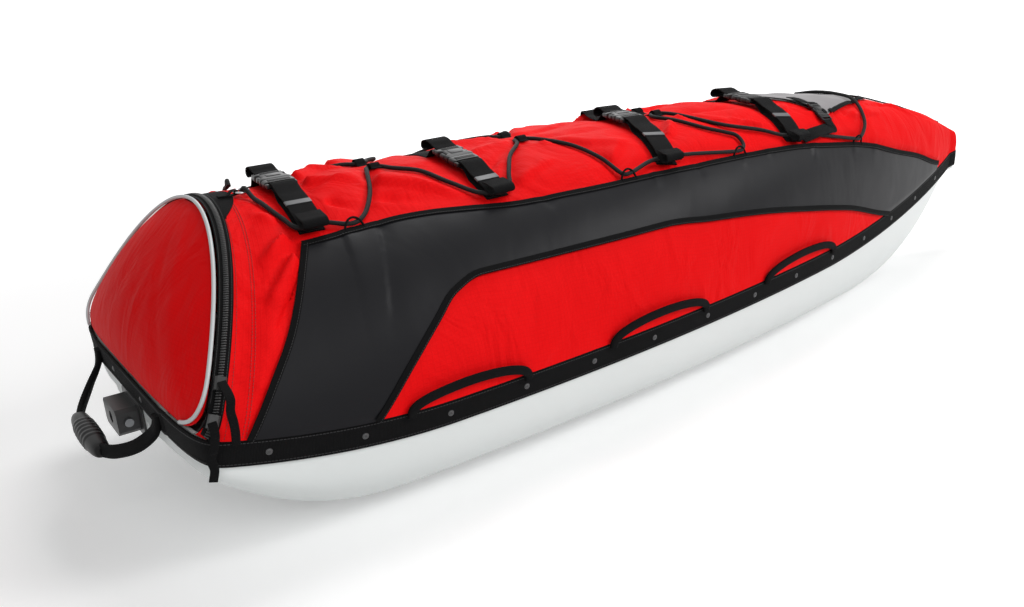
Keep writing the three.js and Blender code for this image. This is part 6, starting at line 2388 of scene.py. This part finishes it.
@dataclass
class Lacing:
    """Elastic cord, ridge tabs, and the ring that it starts from."""

    radius: float = 0.003
    tab_reach: float = 0.038
    tab_width: float = 0.015
    tab_wall: float = 0.0014
    tab_clear: float = 0.0011
    ring_across: float = -0.084
    ring_radius: float = 0.009
    ring_wire: float = 0.0036

    def build(self) -> None:
        """Builds cords, tabs and ring."""
        for side in Side:
            path = smooth_path(ROUTE.points(side, on_cloth), 520)
            cord = sweep_mesh(path, swept_sides(path), oval_section(self.radius * 2, self.radius * 2, 12))
            add_piece(cord, f"lacing_elastic_{side.word}", "sled", BRAID, [f"lacing_cord_{side.word}"],
                      CLOTH_EDGE)
        for i, share in enumerate(ROUTE.tabs):
            self.tab(i, share)
        self.ring()

    def tab(self, i: int, share: float) -> None:
        """Webbing sewn across the ridge and raised over the cord on either side.

        Args:
            i: The tab's number, from 0.
            share: Share of the length.
        """
        station = share * LINES.length
        offset, reach = ROUTE.apex_offset, self.tab_reach
        thick, clear = self.tab_wall, self.tab_clear
        rise = ROUTE.lift + self.radius + clear * 1.2 + thick / 2
        low = 0.001 + thick / 2
        bump = self.radius + clear + thick
        half = [(reach, low), (offset + bump + 0.003, low), (offset + bump * 0.8, rise * 0.75),
                (offset + bump * 0.3, rise), (offset - bump * 0.3, rise), (offset - bump * 0.8, rise * 0.75),
                (offset - bump - 0.003, low)]
        profile = [*((-y, lift) for y, lift in half), *reversed(half)]
        stops = np.array([on_cloth(station, float(LINES.angle_at_distance(station, y)), lift)
                          for y, lift in profile])
        path = smooth_path(stops, 90)
        sides = np.tile(np.array([1.0, 0, 0]), (len(path), 1))
        webbing = sweep_mesh(path, sides, flat_section(self.tab_width, thick))
        add_piece(webbing, f"ridge_tab_webbing_{i + 1}", "sled", BLACK_WEBBING, [f"ridge_tab_{i + 1}"],
                  WOVEN_EDGE)

    def ring(self) -> None:
        """Welded ring and the webbing that holds it."""
        station = ROUTE.places[0][1] * LINES.length
        angle = float(LINES.angle_at_across(station, self.ring_across))
        matrix = cloth_frame(station, angle, 0.006 - float(RELIEF.at(station, angle)))
        turns = np.linspace(0, 2 * math.pi, 49)
        circle = np.stack([np.cos(turns), np.sin(turns), np.zeros_like(turns)], axis=1) * self.ring_radius
        sides = np.tile(np.array([0, 0, 1.0]), (len(circle), 1))
        ring = sweep_mesh(circle, sides, oval_section(self.ring_wire, self.ring_wire, 12), closed=True)
        bmesh.ops.transform(ring, matrix=matrix, verts=ring.verts)
        add_piece(ring, "cord_ring_steel", "sled", BRIGHT_STEEL, ["cord_ring"], CLOTH_EDGE)
        out = self.ring_wire / 2 + 0.0010
        end, tail = out + 0.0013, -0.022
        fold = [(tail, -out), (0, -out), (end * 0.8, -out * 0.8), (end, 0), (end * 0.8, out * 0.8), (0, out),
                (-out * 1.5, out * 0.8), (-out * 3.2, -out + 0.0014), (tail, -out + 0.0014)]
        path = smooth_path(np.array([(x - self.ring_radius, 0.0, z) for x, z in fold]), 60)
        sides = np.tile(np.array([0, -1.0, 0]), (len(path), 1))
        webbing = sweep_mesh(path, sides, flat_section(0.008, 0.0011))
        bmesh.ops.transform(webbing, matrix=matrix, verts=webbing.verts)
        add_piece(webbing, "cord_ring_fold", "sled", BLACK_WEBBING, ["cord_ring_webbing"], WOVEN_EDGE)


@dataclass
class Handles:
    """Six webbing grab handles on the band and the carry handle at the stern."""

    spans: Sequence[tuple[float, float]] = ((0.149, 0.25), (0.336, 0.448), (0.536, 0.653))
    height: float = 0.027
    width: float = 0.012
    thickness: float = 0.006
    standoff: float = 0.005
    anchor: float = 0.142
    reach: float = 0.052
    drop: float = 0.052
    strap_width: float = 0.017
    grip_length: float = 0.108
    grip_radius: float = 0.012
    grip_ribs: int = 12

    def build(self) -> None:
        """Builds every handle."""
        for side in Side:
            for i, span in enumerate(self.spans):
                self.side_handle(side, i, span)
        self.carry()

    def side_handle(self, side: Side, i: int, span: tuple[float, float]) -> None:
        """A doubled webbing arch, rolled at its edges, standing just off the cloth.

        Args:
            side: Which side.
            i: The handle's number, from 0.
            span: Shares of the length where it starts and ends.
        """
        t = np.linspace(0, 1, 70)
        t = t - 0.08 * np.sin(2 * math.pi * t)
        station = (span[0] + (span[1] - span[0]) * t) * LINES.length
        arch = np.sin(math.pi * t) ** 0.33
        band = RimBand()
        up = LINES.rim_top(station) + self.height * arch - self.width * 0.4
        out = LINES.band_flare + 0.0006 + self.thickness / 2 + self.standoff * arch
        sign = side.value
        plan = np.array([band.edge(np.array([s]), sign, o)[0] for s, o in zip(station, out)])
        path = np.column_stack([plan, up])
        heads = unit(np.gradient(path, axis=0))
        sides = unit(np.cross(heads, np.array([0.0, sign, 0.0])))
        strap = sweep_mesh(path, sides, oval_section(self.width, self.thickness * 0.9, 18, 3.0))
        word = side.word
        add_piece(strap, f"side_handle_webbing_{word}_{i + 1}", f"handle_{word}_{i + 1}", BLACK_WEBBING,
                  [f"side_handle_{word}_{i + 1}"], CLOTH_EDGE)

    def carry(self) -> None:
        """Webbing loop with a moulded, ribbed grip."""
        top = float(LINES.rim_top(0.0)) - LINES.band_width / 2
        aft = LINES.start_x - LINES.band_flare - 0.0003 - 0.0012
        rows = [(0, self.anchor, 0.12), (0, self.anchor, 0), (0.06, self.anchor * 0.98, -0.25),
                (0.4, self.anchor * 0.86, -0.62), (0.8, self.anchor * 0.62, -0.9),
                (1, self.grip_length * 0.56, -1)]
        side = np.array([(aft - out * self.reach, y, top + fall * self.drop) for out, y, fall in rows])
        half = smooth_path(side, 60)
        path = np.vstack([half, (half * np.array([1, -1, 1]))[::-1]])
        heads = unit(np.gradient(path, axis=0))
        sides = unit(np.cross(heads, np.array([-1.0, 0, 0])))
        straps = sweep_mesh(path, sides, oval_section(self.strap_width, self.strap_width / 2, 20, 3.2))
        add_piece(straps, "carry_handle_strap", "carry_handle", BLACK_WEBBING, ["carry_handle_webbing"],
                  WOVEN_EDGE)
        rivets = bmesh.new()
        domes = ((0.0044, 0.3, 0.0), (0.0028, 0.75, 0.0))
        for sign in (-1, 1):
            spot = Matrix.Translation((aft - 0.0014, sign * self.anchor, top - 0.0042))
            add_domes(rivets, spot @ Matrix.Rotation(-QUARTER_TURN, 4, "Y"), domes)
        add_piece(rivets, "carry_handle_rivets", "carry_handle", BLACK_STEEL)
        held = path[np.abs(path[:, 1]) < self.grip_length * 0.62]
        line = smooth_path(held, 130)
        t = np.linspace(0, 1, len(line))
        ribs = np.where(np.abs(t - 0.5) < 0.24, np.sin(math.pi * self.grip_ribs * t) ** 2, 0.0)
        scale = 0.78 + 0.3 * np.sin(math.pi * t) ** 0.8 + 0.07 * ribs
        scale *= 1 - 0.35 * np.abs(2 * t - 1) ** 14
        section = oval_section(self.grip_radius * 2.1, self.grip_radius * 1.9, 28, 2.3)
        grip = sweep_mesh(line, swept_sides(line), section, scale)
        add_piece(grip, "carry_handle_moulded_grip", "carry_handle", BLACK_RUBBER, ["carry_handle_grip"],
                  GRIP_EDGE)


@dataclass
class Bracket:
    """Socket bracket in the middle of the stern."""

    def build(self) -> None:
        """Dresses the bracket's nodes."""
        for word, finish in (("plate", BLACK_MOULDING), ("box", BLACK_MOULDING), ("pin", PIN_STEEL)):
            dress(f"bracket_{word}", finish)


@dataclass
class Load:
    """Packed sacks that fill the hull and hold the cover up."""

    spans: Sequence[tuple[float, float]] = ((0.105, 0.27), (0.275, 0.43), (0.435, 0.59), (0.595, 0.73),
                                            (0.735, 0.855))
    gathered: float = 0.12
    around: int = 64
    along: int = 48

    def ring(self, station: np.ndarray, turn: np.ndarray) -> np.ndarray:
        """A place on the load's outline; turn runs once round from the starboard side over the top.

        Args:
            station: Stations in metres.
            turn: Shares of the way round.

        Returns:
            The points.
        """
        upper = turn < 0.5
        angle = math.pi * (0.05 + 0.9 * np.clip(turn * 2, 0, 1))
        point = LINES.cover_point(station, angle)
        share = np.clip(3 - turn * 4, -1, 1) * 0.93
        low, rim = LINES.keel(station) + 0.016, LINES.rim_top(station)
        rise = 1 - (1 - np.abs(share) ** 3) ** (1 / 3)
        across = share * (LINES.half_width(station) - 0.014)
        up = low + (LINES.sheer(station) - low) * rise
        bottom = np.stack([LINES.start_x + station, across, up], axis=-1)
        top = np.stack([point[..., 0], point[..., 1] * 0.95, rim + (point[..., 2] - rim) * 0.94], axis=-1)
        return np.where(upper[..., None], top, bottom)

    def build(self) -> None:
        """Builds each sack as a lofted, crowned shell with gathered ends."""
        for i, (start, end) in enumerate(self.spans):
            middle = float(LINES.rim_top((start + end) / 2 * LINES.length)) * 1.25

            def place(u: np.ndarray, v: np.ndarray) -> np.ndarray:
                """Columns go round the sack, rows along it.

                Args:
                    u: Shares along the columns' way.
                    v: Shares along the rows' way.

                Returns:
                    The points.
                """
                station = (start + (end - start) * v) * LINES.length
                size = np.clip(1 - np.abs(2 * v - 1) ** 4.5, 0, 1) ** 0.5
                size = self.gathered + (1 - self.gathered) * size
                point = self.ring(station, np.mod(u, 1.0))
                wave = 1 - 0.02 * (1 + cloud(point, 14.0, 40.0 + i)) - 0.015 * (1 - size)
                point[..., 1] = point[..., 1] * size * wave
                point[..., 2] = middle + (point[..., 2] - middle) * size * wave
                return point

            sack = close_mesh(grid_mesh(self.around, self.along, place))
            piece = add_piece(sack, f"packed_sack_{i + 1}", "sled", SACK_CLOTH, ["packed_load"], CLOTH_EDGE)


# Studio


def seen_directly(tree: Tree) -> Socket:
    """One where a ray comes from the camera, a mirror or clear plastic, and nought where it only lights.

    Args:
        tree: The node tree it is added to.

    Returns:
        The socket with that number.
    """
    rays = add_node(tree, "ShaderNodeLightPath")
    mirrored = add_node(tree, "ShaderNodeMath", {"operation": "MAXIMUM"},
                        links={0: rays.outputs["Is Glossy Ray"], 1: rays.outputs["Is Transmission Ray"]})
    seen = add_node(tree, "ShaderNodeMath", {"operation": "MAXIMUM"},
                    links={0: rays.outputs["Is Camera Ray"], 1: mirrored.outputs[0]})
    return seen.outputs[0]


@dataclass(frozen=True)
class Studio:
    """Plain pale floor, soft lights and the camera.

    Floor glow gives the floor's own light near the sled and far from it, by distance in metres. Each lamp has
    a name, a place, a target, a size in metres and a power in watts.
    """

    position: tuple[float, float, float] = (-1.03927, -1.27233, 0.64688)
    forward: tuple[float, float, float] = (0.50758587, 0.79923401, -0.32184091)
    right: tuple[float, float, float] = (0.82836808, -0.55542639, -0.07285503)
    up: tuple[float, float, float] = (0.23698715, 0.22962256, 0.94398653)
    lens: float = 36.05
    floor_reach: float = 400.0
    floor_gap: float = 0.0005
    ambient: float = 0.26
    floor_glow: Table = ((0.9, 0.28), (3.5, 0.97))
    lamps: Sequence[tuple] = (
        ("key_softbox", (3.3, -3.2, 3.0), (0.1, 0.0, 0.15), 1.75, 110.0),
        ("top_softbox", (0.7, 0.5, 2.5), (0.1, 0.0, 0.2), 1.2, 27.0),
        ("stern_softbox", (-1.0, -2.6, 1.8), (-0.6, 0.0, 0.2), 1.2, 22.0),
        ("back_softbox", (1.2, 2.6, 1.7), (0.0, 0.0, 0.2), 1.8, 12.0))

    def build(self) -> None:
        """Builds camera, floor, world and lamps."""
        bpy.context.scene.view_settings.view_transform = "Standard"
        self.camera()
        self.floor()
        self.world()
        for row in self.lamps:
            self.lamp(*row)

    def camera(self) -> None:
        """The photograph's viewpoint, fitted to its outlines."""
        data = bpy.data.cameras.new("studio_camera")
        data.lens, data.sensor_width, data.sensor_fit = self.lens, 36.0, "HORIZONTAL"
        data.clip_start, data.clip_end = 0.05, 900.0
        camera = bpy.data.objects.new("studio_camera", data)
        bpy.context.scene.collection.objects.link(camera)
        back = -np.array(self.forward)
        camera.matrix_world = basis(np.array(self.right), np.array(self.up), back, np.array(self.position))
        bpy.context.scene.camera = camera

    def floor(self) -> None:
        """A wide matt floor, just under the runners."""
        mesh = bmesh.new()
        bmesh.ops.create_grid(mesh, x_segments=8, y_segments=8, size=self.floor_reach)
        data = bpy.data.meshes.new("studio_floor")
        mesh.to_mesh(data)
        mesh.free()
        floor = bpy.data.objects.new("studio_floor", data)
        bpy.context.scene.collection.objects.link(floor)
        data.transform(Matrix.Translation((0, 0, -self.floor_gap)))
        material = bpy.data.materials.new("matt white floor")
        material.use_nodes = True
        tree = material.node_tree
        tree.nodes.clear()
        shader = add_node(tree, "ShaderNodeBsdfDiffuse", values={"Color": linear("f4f4f4")})
        where = add_node(tree, "ShaderNodeTexCoord")
        reach = add_node(tree, "ShaderNodeVectorMath", {"operation": "LENGTH"},
                         links={0: where.outputs["Object"]})
        (near, low), (far, high) = self.floor_glow
        rise = add_node(tree, "ShaderNodeMapRange", {"interpolation_type": "SMOOTHSTEP"},
                        {"From Min": near, "From Max": far, "To Min": low, "To Max": high},
                        {"Value": reach.outputs["Value"]})
        glow = add_node(tree, "ShaderNodeMath", {"operation": "MULTIPLY"},
                        links={0: seen_directly(tree), 1: rise.outputs[0]})
        light = add_node(tree, "ShaderNodeEmission", links={"Strength": glow.outputs[0]})
        both = add_node(tree, "ShaderNodeAddShader", links={0: shader.outputs[0], 1: light.outputs[0]})
        add_node(tree, "ShaderNodeOutputMaterial", links={"Surface": both.outputs[0]})
        data.materials.append(material)

    def world(self) -> None:
        """An even, soft surround, white where it is seen or mirrored."""
        world = bpy.data.worlds.new("studio_world")
        bpy.context.scene.world = world
        world.use_nodes = True
        tree = world.node_tree
        tree.nodes.clear()
        soft, white = (
            add_node(tree, "ShaderNodeBackground", values={"Color": (1, 1, 1, 1), "Strength": strength})
            for strength in (self.ambient, 1.0))
        either = add_node(tree, "ShaderNodeMixShader", links={
            0: seen_directly(tree), 1: soft.outputs[0], 2: white.outputs[0]})
        add_node(tree, "ShaderNodeOutputWorld", links={"Surface": either.outputs[0]})

    def lamp(self, name: str, place: tuple, target: tuple, size: float, power: float) -> None:
        """A square soft box.

        Args:
            name: The lamp's name.
            place: Where it hangs.
            target: What it points at.
            size: Its side.
            power: Its power in watts.
        """
        data = bpy.data.lights.new(name, "AREA")
        data.shape, data.size, data.energy = "SQUARE", size, power
        lamp = bpy.data.objects.new(name, data)
        bpy.context.scene.collection.objects.link(lamp)
        aim = Vector(target) - Vector(place)
        lamp.matrix_world = Matrix.Translation(place) @ aim.to_track_quat("-Z", "Y").to_matrix().to_4x4()


def main() -> None:
    """Builds the sled's sub-assemblies in order."""
    logging.basicConfig(level=logging.INFO, format="%(message)s")
    Studio().build()
    for assembly in (Lacing(), Hull(), RimBand(), Cover(), SidePanels(), SternFlap(), Zip(), CrossStraps(),
                     BowHood(), Handles(), Bracket(), Load()):
        log.info("building %s", type(assembly).__name__)
        assembly.build()
    bpy.context.view_layer.update()


if __name__ == "__main__":
    main()
